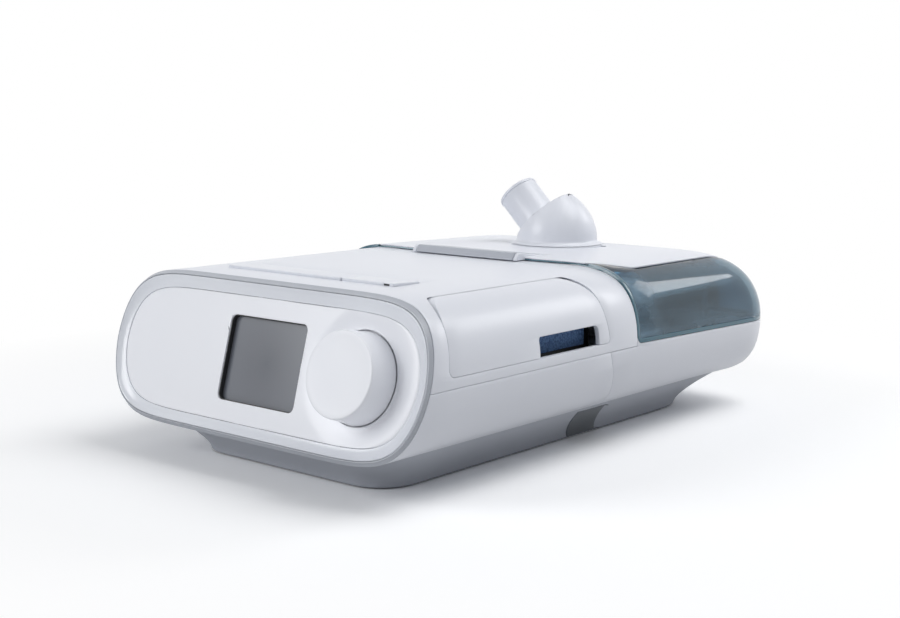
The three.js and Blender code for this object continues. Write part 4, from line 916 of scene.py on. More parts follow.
@dataclass
class FrontFace:
    """The tilted front: grey trim, white ring, panel with its screen and dial seat, and the dial.

    Sizes of ovals are a half width, a rise and a fall. Edges are pairs of an inset and a depth.
    """

    trim_outside: tuple[Pair, ...] = ((0.15, 2.25), (0.0, 1.95))
    trim_front: tuple[Pair, ...] = ((0.0, 0.55), (0.15, 0.2), (0.55, 0.2))
    trim_inside: Pair = (1.5, 2.25)
    bezel_size: Point = (96.2, 33.2, 33.9)
    bezel_inset: float = 0.75
    bezel_outside: tuple[Pair, ...] = ((0.75, 1.2), (0.75, 0.35), (0.87, 0.1))
    bezel_inside: tuple[Pair, ...] = ((2.7, 7.0), (2.7, 2.4), (1.9, 2.4))
    bezel_depth: float = 7.0
    bezel_lip: float = 0.4
    bezel_power: float = 1.9
    brink_shares: Pair = (0.975, 0.995)
    brink_drops: Pair = (0.1, 0.3)
    seam_size: Point = (90.5, 26.8, 28.4)
    seam_depth: float = 1.8
    panel_wall: float = 2.4
    panel_crown: float = 0.35
    panel_edge: float = 0.15
    screen_place: Pair = (1.8, -0.7)
    screen_half: Pair = (23.8, 18.8)
    screen_corner: float = 3.0
    rim_width: float = 0.4
    rim_depth: float = 4.45
    rim_starts: Pair = (2.3, 2.4)
    dial_x: float = 58.0
    dial_base: float = 19.2
    dial_front: float = 18.0
    dial_height: float = 9.5
    dial_edge: float = 0.7
    dial_sink: float = 0.3
    dial_dish: float = 0.25
    dial_walls: Pair = (2.4, 2.2)
    dial_roof: float = 3.0
    dial_room: float = 1.6
    dish_reach: float = 30.5
    dish_depth: float = 1.5
    dish_power: float = 1.1
    cup_depth: float = 6.4
    cup_inset: float = 3.0
    seat_radius: float = 19.8
    seat_floor: float = 4.9
    panel_rows: int = 52
    panel_columns: int = 120
    steps: int = 14

    def ring(self, half_width: float, up: float, down: float, depth: float) -> Ring:
        """Return an oval ring of the front at a depth."""
        return [(x, s, -depth) for x, s in HULL.section(half_width, up, down)]

    def body_ring(self, inset: float, depth: float) -> Ring:
        """Return the ring where the body's form, drawn in, meets a plane behind the front."""
        up, down = ((rise - inset) / math.cos(TILT) for rise in (HULL.rise_up, HULL.rise_down))
        shift = depth * math.tan(TILT)
        points = HULL.section(HULL.half_width - inset, up, down)
        return [(x, s + shift, -depth) for x, s in points]

    def bezel_ring(self, inset: float, depth: float) -> Ring:
        """Return a ring of the white bezel's edge."""
        return self.ring(*(size - inset for size in self.bezel_size), depth)

    def between(self, share: float, depth: float, inset: float) -> Ring:
        """Return a ring between the bezel's edge, drawn in, and the panel's seam."""
        pairs = zip(self.bezel_size, self.seam_size)
        sizes = (mixed(edge - inset, seam + HALF_LINE, share) for edge, seam in pairs)
        return self.ring(*sizes, depth)

    def trim(self) -> None:
        """Model the grey band between the body and the bezel."""
        rings = [self.body_ring(*edge) for edge in self.trim_outside]
        rings += [self.bezel_ring(*edge) for edge in self.trim_front]
        rings.append(self.body_ring(*self.trim_inside))
        obj = skin(rings, loop=True)
        obj.data.transform(FRONT)
        settled(obj, "bezel_trim_band", Look.TRIM_GREY, Carrier.UNIT, "bezel_trim")

    def bezel(self) -> None:
        """Model the white ring, which falls from its edge towards the panel."""
        rings = [self.bezel_ring(*edge) for edge in self.bezel_outside]
        lip = self.bezel_inset + self.bezel_lip
        brink, end = self.brink_shares
        shallower, deeper = self.brink_drops
        for step in range(self.steps + 1):
            share = step / self.steps
            fall = (self.seam_depth - shallower) * (1 - (1 - share) ** self.bezel_power)
            rings.append(self.between(share * brink, fall, lip))
        rings.append(self.between(end, self.seam_depth, lip))
        rings.append(self.between(1.0, self.seam_depth + deeper, self.bezel_inset))
        rings.append(self.between(1.0, self.bezel_depth, self.bezel_inset))
        rings += [self.body_ring(*edge) for edge in self.bezel_inside]
        obj = skin(rings, loop=True)
        obj.data.transform(FRONT)
        settled(obj, "front_bezel_ring", Look.GLOSS_WHITE, Carrier.UNIT, "front_bezel", smooth=50)

    def screen_outline(self, margin: float) -> list[Pair]:
        """Return the screen's rounded outline, grown by a margin."""
        (x, s), corner = self.screen_place, self.screen_corner + margin
        half_width, half_height = (half + margin for half in self.screen_half)
        turns = ((-1, -1), (1, -1), (1, 1), (-1, 1))
        return arced([(x + i * half_width, s + j * half_height, corner) for i, j in turns])

    def panel_depth(self, x: float, s: float) -> float:
        """Return how deep the panel's face lies behind the front plane at a place on it."""
        half_width, up, down = self.seam_size
        across, along = x / half_width, s / (up if s > 0 else down)
        crown = self.panel_crown * max(0.0, 1 - across**2 - along**2)
        from_dial = math.hypot(x - self.dial_x, s)
        share = (self.dish_reach - from_dial) / (self.dish_reach - self.seat_radius)
        share = min(1.0, max(0.0, share))
        eased = share * share * (3 - 2 * share)
        return self.seam_depth - crown + self.dish_depth * eased**self.dish_power

    def panel(self) -> None:
        """Model the panel with its screen opening and the dish that the dial stands in."""
        back = self.seam_depth + self.panel_wall
        sizes = (size - HALF_LINE for size in self.seam_size)
        outline = HullForm(quadrant_steps=self.panel_rows).section(*sizes)
        rows = sorted((point for point in outline if point[0] > 0.5), key=lambda point: point[1])
        columns = self.panel_columns
        rings = []
        for half_width, s in rows:
            places = [half_width * (2 * k / columns - 1) for k in range(columns + 1)]
            front = [(x, s, -self.panel_depth(x, s)) for x in places]
            for end in (0, -1):
                front[end] = (front[end][0], s, -self.seam_depth - self.panel_edge)
            rings.append(front + [(x, s, -back) for x in reversed(places)])
        obj = skin(rings)
        deep, behind = (self.dial_x, 0, -self.cup_depth), (self.dial_x, 0, -back + 0.1)
        shaped(obj, Cut.JOIN, rod(self.dish_reach - self.cup_inset, deep, behind))
        floor, ahead = (self.dial_x, 0, -self.seat_floor), (self.dial_x, 0, OVERRUN)
        opening = prism(self.screen_outline(0), Way.Z)
        shaped(obj, Cut.AWAY, rod(self.seat_radius, floor, ahead), opening)
        softened(obj, 0.2, angle=50)
        obj.data.transform(FRONT)
        settled(obj, "front_panel_face", Look.FRONT_LIT_WHITE, Carrier.UNIT, "front_panel")

    def screen(self) -> None:
        """Line the screen's opening with a thin matte black rim, which makes its walls dark."""
        outer, inner = self.screen_outline(0.0), self.screen_outline(-self.rim_width)
        edges = (
            (outer, self.rim_depth),
            (outer, self.rim_starts[0]),
            (inner, self.rim_starts[1]),
            (inner, self.rim_depth),
        )
        rings = [[(x, s, -depth) for x, s in outline] for outline, depth in edges]
        obj = skin(rings, loop=True)
        obj.data.transform(FRONT)
        settled(obj, "screen_rim", Look.MATTE_BLACK, Carrier.UNIT)

    def dial(self) -> None:
        """Model the dial: a slightly dished face, a rounded edge and a wall that widens below."""
        floor, top, edge = -self.seat_floor + self.dial_room, self.dial_height, self.dial_edge
        middle = top - self.dial_sink
        profile = [(0.0, middle)]
        for step in range(1, 8):
            share = step / 8
            profile.append((self.dial_front * share, middle + self.dial_dish * share**3))
        for step in range(7):
            angle = step / 6 * math.pi / 2
            radius = self.dial_front - edge + edge * math.sin(angle)
            profile.append((radius, top - edge + edge * math.cos(angle)))
        for step in range(1, 7):
            share = step / 6
            radius = mixed(self.dial_front, self.dial_base, share**1.5)
            profile.append((radius, mixed(top - edge, floor, share)))
        inside, (upper, lower) = top - self.dial_roof, self.dial_walls
        profile += [(self.dial_base - lower, floor), (self.dial_front - upper, inside)]
        obj = spun([*profile, (0.0, inside)], (self.dial_x, 0), 160)
        obj.data.transform(FRONT)
        settled(obj, "dial_cap", Look.FRONT_LIT_WHITE, Carrier.KNOB, "control_dial", smooth=40)

    def build(self) -> None:
        """Build the whole front."""
        self.trim()
        self.bezel()
        self.panel()
        self.screen()
        self.dial()


@dataclass
class TherapyHousing:
    """The white shells of the therapy unit with their doors and the button bar."""

    nose: Point = (-72.0, 108.0, 36.0)
    nose_radius: float = 6.3
    door_front: float = 12.8
    door_rear: float = 125.5
    door_bottom: float = 53.6
    door_top: float = 82.4
    door_slants: Pair = (6.0, 3.0)
    door_low_corners: Pair = (3.5, 2.0)
    door_corner: float = 8.0
    swing_corner: float = 12.5
    door_fold: float = 73.4
    door_wall: float = 2.2
    slot_front: float = 73.0
    slot_rear: float = 117.0
    slot_top: float = 62.5
    slot_bottom: float = 40.0
    slot_corners: Pair = (1.6, 2.2)
    card_low: Pair = (54.0, 56.0)
    card_high: Pair = (86.0, 76.0)
    card_corner: float = 4.0
    card_inside: float = -48.0
    bar_half_width: float = 51.5
    bar_front: float = 30.2
    bar_rear: float = 46.6
    bar_rise: float = 1.2
    bar_rear_rise: float = 0.6
    bar_skirt: float = 3.4
    bar_corners: Pair = (0.35, 0.3)
    bar_room: float = 0.2
    key_gap: float = 0.08
    key_split: float = 21.8
    notch_sides: Pair = (1.3, 0.2)
    notch_heights: Pair = (80.0, 90.0)
    notch_depth: float = 0.9
    sensor_split: float = 46.0
    window_heights: Pair = (84.35, 85.15)
    window_depth: float = 0.8
    window_end: float = 2.2

    def door_tool(self, margin: float, corner: float) -> Obj:
        """Model the region of the filter door, grown by a margin, outside the inner fold."""
        front, rear = self.door_front - margin, self.door_rear + margin
        low, high = self.door_bottom - margin, self.door_top + margin
        lower = [(y, low, turn) for y, turn in zip((front, rear), self.door_low_corners)]
        ahead, behind = self.door_slants
        upper = [(rear - behind, high, corner), (front + ahead, high, corner)]
        outline = arced([*lower, *upper])
        fold = self.door_fold - math.copysign(0.1, margin)
        return prism(outline, Way.X, fold)

    def card_tool(self, margin: float) -> Obj:
        """Model the region of the card door, grown by a margin."""
        front, low = (value - margin for value in self.card_low)
        rear, high = (value + margin for value in self.card_high)
        corners = ((front, low), (rear, low), (rear, high), (front, high))
        outline = arced([(*corner, self.card_corner) for corner in corners])
        return prism(outline, Way.X, high=self.card_inside)

    def upper(self, shell: Obj) -> None:
        """Cut the upper shell, with the openings for its doors and the button bar."""
        low = HULL.seam_height + HALF_LINE
        rear = HULL.lid_seam - SEAM_GAP
        region = block((-BEYOND, -BEYOND, low), (BEYOND, rear, BEYOND))
        obj = shaped(copied(shell), Cut.WITHIN, region)
        half_width = self.bar_half_width + self.bar_room
        bar = block(
            (-half_width, self.bar_front - self.bar_room, CENTRE_HEIGHT),
            (half_width, self.bar_rear + self.bar_room, BEYOND),
        )
        door = self.door_tool(HALF_LINE, self.door_corner)
        shaped(obj, Cut.AWAY, door, self.card_tool(HALF_LINE), bar)
        softened(obj, 0.22)
        settled(obj, "upper_shell", Look.SATIN_WHITE, Carrier.UNIT, "upper_housing")

    def lower(self, shell: Obj, plinth_hole: Obj) -> None:
        """Cut the lower shell of the therapy unit."""
        top = HULL.seam_height - HALF_LINE
        outline = [
            (-BEYOND, -OVERRUN),
            (HULL.dock_edge(-OVERRUN, -HALF_LINE), -OVERRUN),
            (HULL.dock_edge(top, -HALF_LINE), top),
            (-BEYOND, top),
        ]
        obj = shaped(copied(shell), Cut.WITHIN, prism(outline, Way.X))
        nose = rod(self.nose_radius, (-BEYOND, *self.nose[1:]), self.nose)
        shaped(obj, Cut.AWAY, plinth_hole, nose)
        softened(obj, 0.22)
        settled(obj, "lower_shell", Look.SATIN_WHITE, Carrier.UNIT, "lower_housing")

    def doors(self) -> None:
        """Cut the filter door with its intake slot, and the card door, out of the shell's form."""
        shell = HULL.shell(self.door_wall)
        # The door's upper corners are rounder than their opening, which leaves room for the swing.
        door = shaped(copied(shell), Cut.WITHIN, self.door_tool(-HALF_LINE, self.swing_corner))
        slot = [
            (self.slot_front, self.slot_bottom),
            (self.slot_rear, self.slot_bottom),
            (self.slot_rear, self.slot_top, self.slot_corners[1]),
            (self.slot_front, self.slot_top, self.slot_corners[0]),
        ]
        shaped(door, Cut.AWAY, prism(arced(slot), Way.X, self.door_fold))
        softened(door, 0.25)
        settled(door, "filter_door_panel", Look.SATIN_WHITE, Carrier.FILTER_DOOR, "filter_door")
        card = shaped(shell, Cut.WITHIN, self.card_tool(-HALF_LINE))
        softened(card, 0.25)
        settled(card, "card_door_panel", Look.SATIN_WHITE, Carrier.CARD_DOOR, "sd_card_door")

    def bar_piece(self, left: float, right: float) -> Obj:
        """Model a length of the button bar, which is proud of the roof and falls to the rear."""
        skirt = HULL.roof - self.bar_skirt
        corners = [
            (self.bar_front, skirt),
            (self.bar_rear, skirt),
            (self.bar_rear, HULL.roof + self.bar_rear_rise, self.bar_corners[1]),
            (self.bar_front, HULL.roof + self.bar_rise, self.bar_corners[0]),
        ]
        return prism(arced(corners, 4), Way.X, left, right)

    def window(self, left: float, front: float) -> Obj:
        """Model the sensor's window from its left end and its front."""
        low, high = self.window_heights
        right, rear = self.bar_half_width - self.window_end, self.bar_front + self.window_depth
        return block((left, front, low), (right, rear, high))

    def buttons(self) -> None:
        """Model the two keys and the light sensor's window at the end of the bar."""
        gap, front = self.key_gap, self.bar_front
        (left, right), (bottom, top) = self.notch_sides, self.notch_heights
        low = (self.key_split - left, front - 1, bottom)
        high = (self.key_split + right, front + self.notch_depth, top)
        obj = self.bar_piece(-self.bar_half_width, self.key_split - gap)
        softened(shaped(obj, Cut.AWAY, block(low, high)), 0.15)
        settled(obj, "therapy_key_cap", Look.SATIN_WHITE, Carrier.THERAPY_KEY, "therapy_button")
        obj = self.bar_piece(self.key_split + gap, self.sensor_split - gap)
        softened(obj, 0.15)
        settled(obj, "ramp_key_cap", Look.SATIN_WHITE, Carrier.RAMP_KEY, "ramp_button")
        obj = self.bar_piece(self.sensor_split + gap, self.bar_half_width)
        softened(shaped(obj, Cut.AWAY, self.window(self.sensor_split - 1, front - 1)), 0.12)
        settled(obj, "bar_end_cap", Look.SATIN_WHITE, Carrier.UNIT, "light_sensor")
        window = self.window(self.sensor_split + gap, front + 0.1)
        softened(window, 0.1)
        settled(window, "sensor_window", Look.MATTE_BLACK, Carrier.UNIT)


@dataclass
class Plinth:
    """The grey foot of both units, with its release latch."""

    top_half_width: float = 79.0
    top_front: float = -1.0
    top_rear: float = 277.0
    top_corner: float = 34.0
    foot_half_width: float = 60.3
    foot_front: float = 15.0
    foot_rear: float = 269.0
    foot_corner: float = 19.0
    rear_rounder: float = 18.0
    bottom: float = 0.6
    wall: float = 2.0
    lip: float = 3.0
    foot_round: float = 1.0
    flare: float = 1.4
    arc_steps: int = 12
    straight_steps: int = 16
    rows: int = 8
    well_radius: float = 6.3
    well_depth: float = 2.5
    wells: Point = (42.0, 42.0, 240.0)
    dock_top: float = 60.0
    latch_front: float = 131.5
    latch_width: float = 23.0
    latch_lean: float = 12.5
    latch_top: float = 17.5
    latch_bottom: float = 1.4
    latch_inside: float = 53.0
    latch_wall: float = 5.0
    latch_inset: float = 0.12

    def outline(
        self, half_width: float, front: float, rear: float, corner: float, rounder: float = 0.0
    ) -> list[Pair]:
        """Return a rounded rectangle in plan with evenly parted straight sides.

        Args:
            half_width: Half its width.
            front: Where its front side stands.
            rear: Where its rear side stands.
            corner: The radius of its front corners.
            rounder: How much larger the radius of its rear corners is.

        Returns:
            The outline's points.
        """
        ends = ((-half_width, front, 0.0), (half_width, front, 0.0))
        ends += ((half_width, rear, rounder), (-half_width, rear, rounder))
        arcs = arced([(x, y, corner + more) for x, y, more in ends], self.arc_steps)
        size = self.arc_steps + 1
        points = []
        for last in range(size, 4 * size + 1, size):
            points += arcs[last - size : last]
            start, end = Vector(arcs[last - 1]), Vector(arcs[last % len(arcs)])
            inner = range(1, self.straight_steps)
            points += [tuple(start.lerp(end, k / self.straight_steps)) for k in inner]
        return points

    def top(self, margin: float) -> list[Pair]:
        """Return the outline along the body, grown by a margin."""
        front, rear = self.top_front - margin, self.top_rear + margin
        return self.outline(self.top_half_width + margin, front, rear, self.top_corner + margin)

    def foot(self, inset: float) -> list[Pair]:
        """Return the outline along the ground, drawn in by an inset."""
        front, rear = self.foot_front + inset, self.foot_rear - inset
        sizes = (self.foot_half_width - inset, front, rear, self.foot_corner - inset)
        return self.outline(*sizes, self.rear_rounder)

    def wall_rings(self, inset: float, bottom: float) -> list[Ring]:
        """Return the rings of the flared wall, drawn in by an inset, from its bottom to its rim."""
        foot, top = self.foot(inset), self.top(-inset - GAP)
        rings = []
        for row in range(self.rows + 1):
            share = row / self.rows
            # The wall is steep at the foot and flares out towards the rim.
            swell = share**self.flare
            ring = []
            for (foot_x, foot_y), (top_x, top_y) in zip(foot, top):
                height = mixed(bottom, HULL.underside(top_x, top_y), share)
                ring.append((mixed(foot_x, top_x, swell), mixed(foot_y, top_y, swell), height))
            rings.append(ring)
        rings.append([(x, y, HULL.underside(x, y) + self.lip) for x, y in top])
        return rings

    def tray(self) -> Obj:
        """Model the whole tray, with a rounded bottom edge."""
        under = []
        for step in range(4):
            angle = step / 4 * math.pi / 2
            outline = self.foot(self.foot_round * (1 - math.sin(angle)))
            height = self.bottom + self.foot_round * (1 - math.cos(angle))
            under.append([(x, y, height) for x, y in outline])
        outer = self.wall_rings(0, self.bottom + self.foot_round)
        inner = self.wall_rings(self.wall, self.bottom + self.wall)
        return skin(under + outer + inner[::-1])

    def latch_tool(self, margin: float) -> Obj:
        """Model the region of the release latch, with a margin round it and inside it."""
        front, rear = self.latch_front - margin, self.latch_front + self.latch_width + margin
        low, high = self.latch_bottom - margin, self.latch_top + margin
        lean = self.latch_lean
        outline = [(front, high), (front + lean, low), (rear + lean, low), (rear, high)]
        return prism(outline, Way.X, self.latch_inside - 2 * margin)

    def half(self, tray: Obj, name: str, node: str, side: int) -> None:
        """Cut one half of the plinth out of the tray, before or behind the slanted seam."""
        far, edge, top = side * BEYOND, side * HALF_LINE, self.dock_top
        ends = ((HULL.dock_edge(-OVERRUN, edge), -OVERRUN), (HULL.dock_edge(top, edge), top))
        region = prism([(far, -OVERRUN), *ends, (far, top)], Way.X)
        half = shaped(tray, Cut.WITHIN, region)
        shaped(half, Cut.AWAY, self.latch_tool(SEAM_GAP))
        x, front, rear = self.wells
        y = front if side < 0 else rear
        for across in (-x, x):
            well = rod(self.well_radius, (across, y, 0), (across, y, self.well_depth), 48)
            shaped(half, Cut.AWAY, well)
        softened(half, 0.2, angle=50)
        settled(half, name, Look.SPARK_GREY, Carrier.UNIT, node)

    def latch(self) -> None:
        """Cut the release latch out of the flared wall."""
        outer = self.wall_rings(self.latch_inset, self.bottom)
        inner = self.wall_rings(self.latch_wall, self.bottom)
        latch = skin(outer + inner[::-1], loop=True)
        shaped(latch, Cut.WITHIN, self.latch_tool(0))
        softened(latch, 0.35, 3, 50)
        settled(latch, "release_latch", Look.SPARK_DARK, Carrier.DOCKING_LATCH, "docking_latch")

    def build(self) -> None:
        """Build both halves of the plinth and the latch between them."""
        front = self.tray()
        rear = copied(front)
        self.half(front, "therapy_plinth", "therapy_base", -1)
        self.half(rear, "humidifier_plinth", "humidifier_base", 1)
        self.latch()


@dataclass
class Humidifier:
    """The white tub behind the therapy unit, with the hinge that carries its lid."""

    rim_front: float = 50.2
    rim_rear: float = 47.0
    shelf: float = 48.95
    wall_low: float = 16.8
    wall_inset: float = 1.2
    tank_front: float = 164.0
    corner: float = 4.0
    hinge_y: float = 288.6
    hinge_height: float = 47.0
    hinge_radius: float = 2.4
    bore_radius: float = 1.4
    knuckles: tuple[Pair, ...] = ((30.0, 40.0), (40.3, 56.3), (56.6, 66.6))
    web_reach: float = 1.2
    web_height: float = 4.0

    def rim_at(self, y: float) -> float:
        """Return the height of the lid's rim, which drops a little towards the rear."""
        share = (y - HULL.lid_seam) / (HULL.rear - HULL.lid_seam)
        return mixed(self.rim_front, self.rim_rear, share)

    def lid_region(self, margin: float) -> Obj:
        """Model everything over the rim, drawn in by a margin, with a rounded low front corner."""
        front = HULL.lid_seam + SEAM_GAP + margin
        corners = [
            (front, self.rim_at(front) + margin, self.corner - margin),
            (BEYOND, self.rim_at(BEYOND) + margin),
            (BEYOND, BEYOND),
            (front, BEYOND),
        ]
        return prism(arced(corners), Way.X)

    def bar(self, radius: float, span: Pair, room: float = 0.0, sides: int = 48) -> Obj:
        """Model a bar on the hinge line, longer than its span by a room at both ends."""
        line = (self.hinge_y, self.hinge_height)
        return rod(radius, (span[0] - room, *line), (span[1] + room, *line), sides)

    def spans(self, *chosen: int) -> list[Pair]:
        """Return where the chosen knuckles start and end, on both sides."""
        both = [(side, self.knuckles[i]) for side in (-1, 1) for i in chosen]
        return [tuple(sorted(side * end for end in span)) for side, span in both]

    def hinge(self, spans: list[Pair], low: float, high: float) -> list[Obj]:
        """Model knuckles round the hinge line, each with the web that ties it to its shell."""
        pieces = []
        for span in spans:
            web = block((span[0], HULL.rear - self.web_reach, low), (span[1], self.hinge_y, high))
            pieces += [self.bar(self.hinge_radius, span), web]
        return pieces

    def reliefs(self, *chosen: int) -> list[Obj]:
        """Model the room that the other shell's knuckles need."""
        return [self.bar(self.hinge_radius + GAP, span, GAP) for span in self.spans(*chosen)]

    def bores(self) -> list[Obj]:
        """Model the holes for the hinge pins."""
        first, last = self.knuckles[0][0], self.knuckles[-1][1]
        ends = ((-last, -first), (first, last))
        return [self.bar(self.bore_radius, span, GAP, 32) for span in ends]

    def build(self, shell: Obj, plinth_hole: Obj) -> None:
        """Build the tub with its front wall, shelf and hinge knuckles."""
        front, low, wall = HULL.lid_seam + SEAM_GAP, self.wall_low, self.shelf - WALL
        ramp = front + self.corner
        outline = [
            (HULL.dock_edge(-OVERRUN, HALF_LINE), -OVERRUN),
            (BEYOND, -OVERRUN),
            (BEYOND, self.rim_at(BEYOND) - SEAM_GAP),
            (ramp, self.rim_at(ramp) - SEAM_GAP),
            (front, self.rim_at(front) + self.corner),
            (front, self.shelf),
            (HULL.dock_edge(self.shelf, HALF_LINE), self.shelf),
        ]
        obj = shaped(copied(shell), Cut.WITHIN, prism(outline, Way.X))
        shaped(obj, Cut.AWAY, self.lid_region(-SEAM_GAP))
        plate = [
            (HULL.dock_edge(low, HALF_LINE), low),
            (HULL.dock_edge(low, HALF_LINE) + WALL, low),
            (HULL.dock_edge(wall, HALF_LINE) + WALL, wall),
            (self.tank_front - WALL, wall),
            (self.tank_front - WALL, self.shelf),
            (HULL.dock_edge(self.shelf, HALF_LINE), self.shelf),
        ]
        front_wall = shaped(HULL.solid(self.wall_inset), Cut.WITHIN, prism(plate, Way.X))
        shaped(obj, Cut.JOIN, front_wall)
        shaped(obj, Cut.AWAY, plinth_hole, *self.reliefs(1))
        low, high = self.hinge_height - self.web_height, self.hinge_height - SEAM_GAP
        shaped(obj, Cut.JOIN, *self.hinge(self.spans(0, 2), low, high))
        shaped(obj, Cut.AWAY, *self.bores())
        softened(obj, 0.2, angle=50)
        settled(obj, "humidifier_tub", Look.SATIN_WHITE, Carrier.UNIT, "humidifier_shell")


@dataclass
class Lid:
    """The smoky lid with its white cover, latch bar, collar and outlet elbow."""

    cover_front: float = 66.0
    cover_front_y: float = 150.0
    cover_before: Pair = (65.0, 140.0)
    cover_corners: tuple[float, ...] = (6.0, 14.0, 14.0, 12.0)
    cover_kink: float = 79.0
    cover_kink_y: float = 167.0
    cover_rear: float = 76.5
    cover_shoulder_y: float = 257.0
    cover_setback: float = 2.1
    cover_inset: float = 0.2
    cover_sink: float = 0.85
    edge_sink: float = 0.5
    spine: float = 60.0
    spine_shoulder_y: float = 277.0
    latch_half_width: float = 31.0
    latch_front: float = 136.8
    latch_rear: float = 160.5
    latch_lean: float = 2.8
    latch_rise: float = 3.7
    latch_lift: float = 0.45
    bow: float = 4.2
    bow_steps: int = 10
    band_low: float = 84.6
    cheek_gap: float = 0.35
    cheek: float = 2.4
    elbow_y: float = 217.0
    neck_radius: float = 12.0
    neck_bore: float = 9.5
    collar_low: float = 84.55
    collar_height: float = 0.9
    collar_radius: float = 24.6
    mark_bearing: float = math.radians(18)
    elbow_foot: float = 85.75
    flare_radius: float = 24.6
    flare_rise: float = 2.6
    flare_edge: float = 0.25
    hood_radius: float = 21.6
    hood_rise: float = 27.6
    hood_swell: float = 2.0
    hood_power: float = 0.78
    hood_face: float = 14.1
    axis_sink: float = 0.6
    spout_radius: float = 11.0
    spout_start: float = 12.0
    spout_length: float = 38.0
    spout_lip: Pair = (0.18, 1.6)
    bore_radius: float = 9.3
    bore_start: float = 4.0
    bend_radius: float = 10.2
    bend_rise: float = 1.5
    sunk: float = 0.95
    channel: float = 1.9
    glass_wall: float = 3.45
    strip: float = 2.2
    strip_depth: float = 7.5
    rim_height: float = 2.2

    def form(self, inset: float, start: float = HULL_START) -> Obj:
        """Model the body's form with its raised lid, drawn in by an inset."""
        return HULL.solid(inset, HULL.lid_crown, start)

    def over_cover(self, margin: float) -> Obj:
        """Model everything over the white cover's outline, grown by a margin."""
        front, kink, shoulder, spine = self.cover_corners
        before, before_y = self.cover_before
        half = [
            (before + margin, before_y),
            (self.cover_front + margin, self.cover_front_y, front),
            (self.cover_kink + margin, self.cover_kink_y, kink),
            (self.cover_rear + margin, self.cover_shoulder_y, shoulder),
            (self.spine + margin, self.spine_shoulder_y, spine),
            (self.spine + margin, BEYOND),
        ]
        mirrored = [(-x, *rest) for x, *rest in reversed(half)]
        return prism(arced([*half, *mirrored], 10), Way.Z, 0)

    def latch_room(self) -> Obj:
        """Model the room for the latch bar."""
        half_width = self.latch_half_width + GAP
        rear = self.latch_rear + 0.4
        return block((-half_width, -BEYOND, HULL.roof - 1), (half_width, rear, BEYOND))

    def upright(self, radius: float, low: float, high: float) -> Obj:
        """Model a round bar on the elbow's upright line."""
        return rod(radius, (0, self.elbow_y, low), (0, self.elbow_y, high))

    def neck_room(self) -> Obj:
        """Model the round hole that the elbow's neck passes through."""
        return self.upright(self.neck_radius + GAP, 40, 120)

    def glass(self, tub: Humidifier) -> None:
        """Model the transparent part: sides, sunk step round the cover, front strip and rim."""
        obj = shaped(self.form(0), Cut.WITHIN, tub.lid_region(0))
        layer = shaped(self.form(-1.0, 0.0), Cut.AWAY, self.form(self.sunk, -OVERRUN))
        channel = shaped(layer, Cut.WITHIN, self.over_cover(self.channel))
        low = (-BEYOND, HULL.lid_seam + SEAM_GAP + self.strip, 0)
        cavity = shaped(self.form(self.glass_wall), Cut.WITHIN, block(low, (BEYOND,) * 3))
        shaped(obj, Cut.AWAY, channel, cavity, self.form(self.strip_depth, -OVERRUN))
        shaped(obj, Cut.AWAY, self.latch_room(), self.neck_room(), *tub.reliefs(0, 1, 2))
        rim = copied(obj)
        inner = tub.lid_region(self.rim_height)
        shaped(rim, Cut.AWAY, copied(inner))
        shaped(obj, Cut.WITHIN, inner)
        softened(rim, 0.25, angle=50)
        softened(obj, 0.3, angle=50)
        settled(rim, "lid_rim", Look.TEAL_EDGE, Carrier.LID)
        settled(obj, "lid_window", Look.SMOKY_WALL, Carrier.LID, "humidifier_lid")

    def cover(self, tub: Humidifier) -> None:
        """Model the white cover over the middle of the lid, down to the hinge."""
        front = HULL.lid_seam + self.cover_setback
        behind = block((-BEYOND, front, 0), (BEYOND,) * 3)
        region = shaped(tub.lid_region(SEAM_GAP), Cut.WITHIN, behind)
        shaped(region, Cut.JOIN, self.over_band())
        obj = shaped(self.form(0), Cut.WITHIN, self.over_cover(-self.cover_inset), region)
        before = block((-BEYOND, -BEYOND, 0), (BEYOND, front, BEYOND))
        thinner = shaped(self.form(self.edge_sink, -OVERRUN), Cut.WITHIN, before)
        shaped(obj, Cut.AWAY, self.form(self.cover_sink, -OVERRUN), thinner)
        shaped(obj, Cut.AWAY, self.latch_room(), *tub.reliefs(0, 2))
        low, high = tub.hinge_height + SEAM_GAP, tub.hinge_height + tub.web_height
        shaped(obj, Cut.JOIN, *tub.hinge(tub.spans(1), low, high), *self.cheeks())
        shaped(obj, Cut.AWAY, *tub.bores(), self.neck_room())
        softened(obj, 0.3, 3, 50)
        settled(obj, "lid_cover_panel", Look.SATIN_WHITE, Carrier.LID, "lid_cover")

    def latch_piece(self, start: float, end: float, inset: float = 0.0) -> Obj:
        """Model a length of the latch bar's form, drawn in by an inset."""
        low, back = HULL.roof + self.latch_lift, HULL.roof + HULL.lid_crown
        lean = self.latch_front + self.latch_lean
        corners = [
            (self.latch_front + inset, low, 0.4),
            (self.latch_rear, low),
            (self.latch_rear, back + 0.1 - inset, 0.3),
            (lean + inset, low + self.latch_rise - inset, 1.3),
        ]
        return prism(arced(corners, 6), Way.X, start, end)

    def latch(self) -> None:
        """Model the latch bar, which leans back to the lid behind it."""
        obj = self.latch_piece(-self.latch_half_width, self.latch_half_width)
        softened(obj, 0.3, 3, 60)
        settled(obj, "latch_bar", Look.LATCH_GREY, Carrier.LATCH, "lid_latch")

    def cheeks(self) -> list[Obj]:
        """Model the cheeks beside the latch bar."""
        parts = []
        for side in (-1, 1):
            reaches = (self.latch_half_width + reach for reach in (self.cheek_gap, self.cheek))
            parts.append(self.latch_piece(*sorted(side * reach for reach in reaches), 0.2))
        return parts

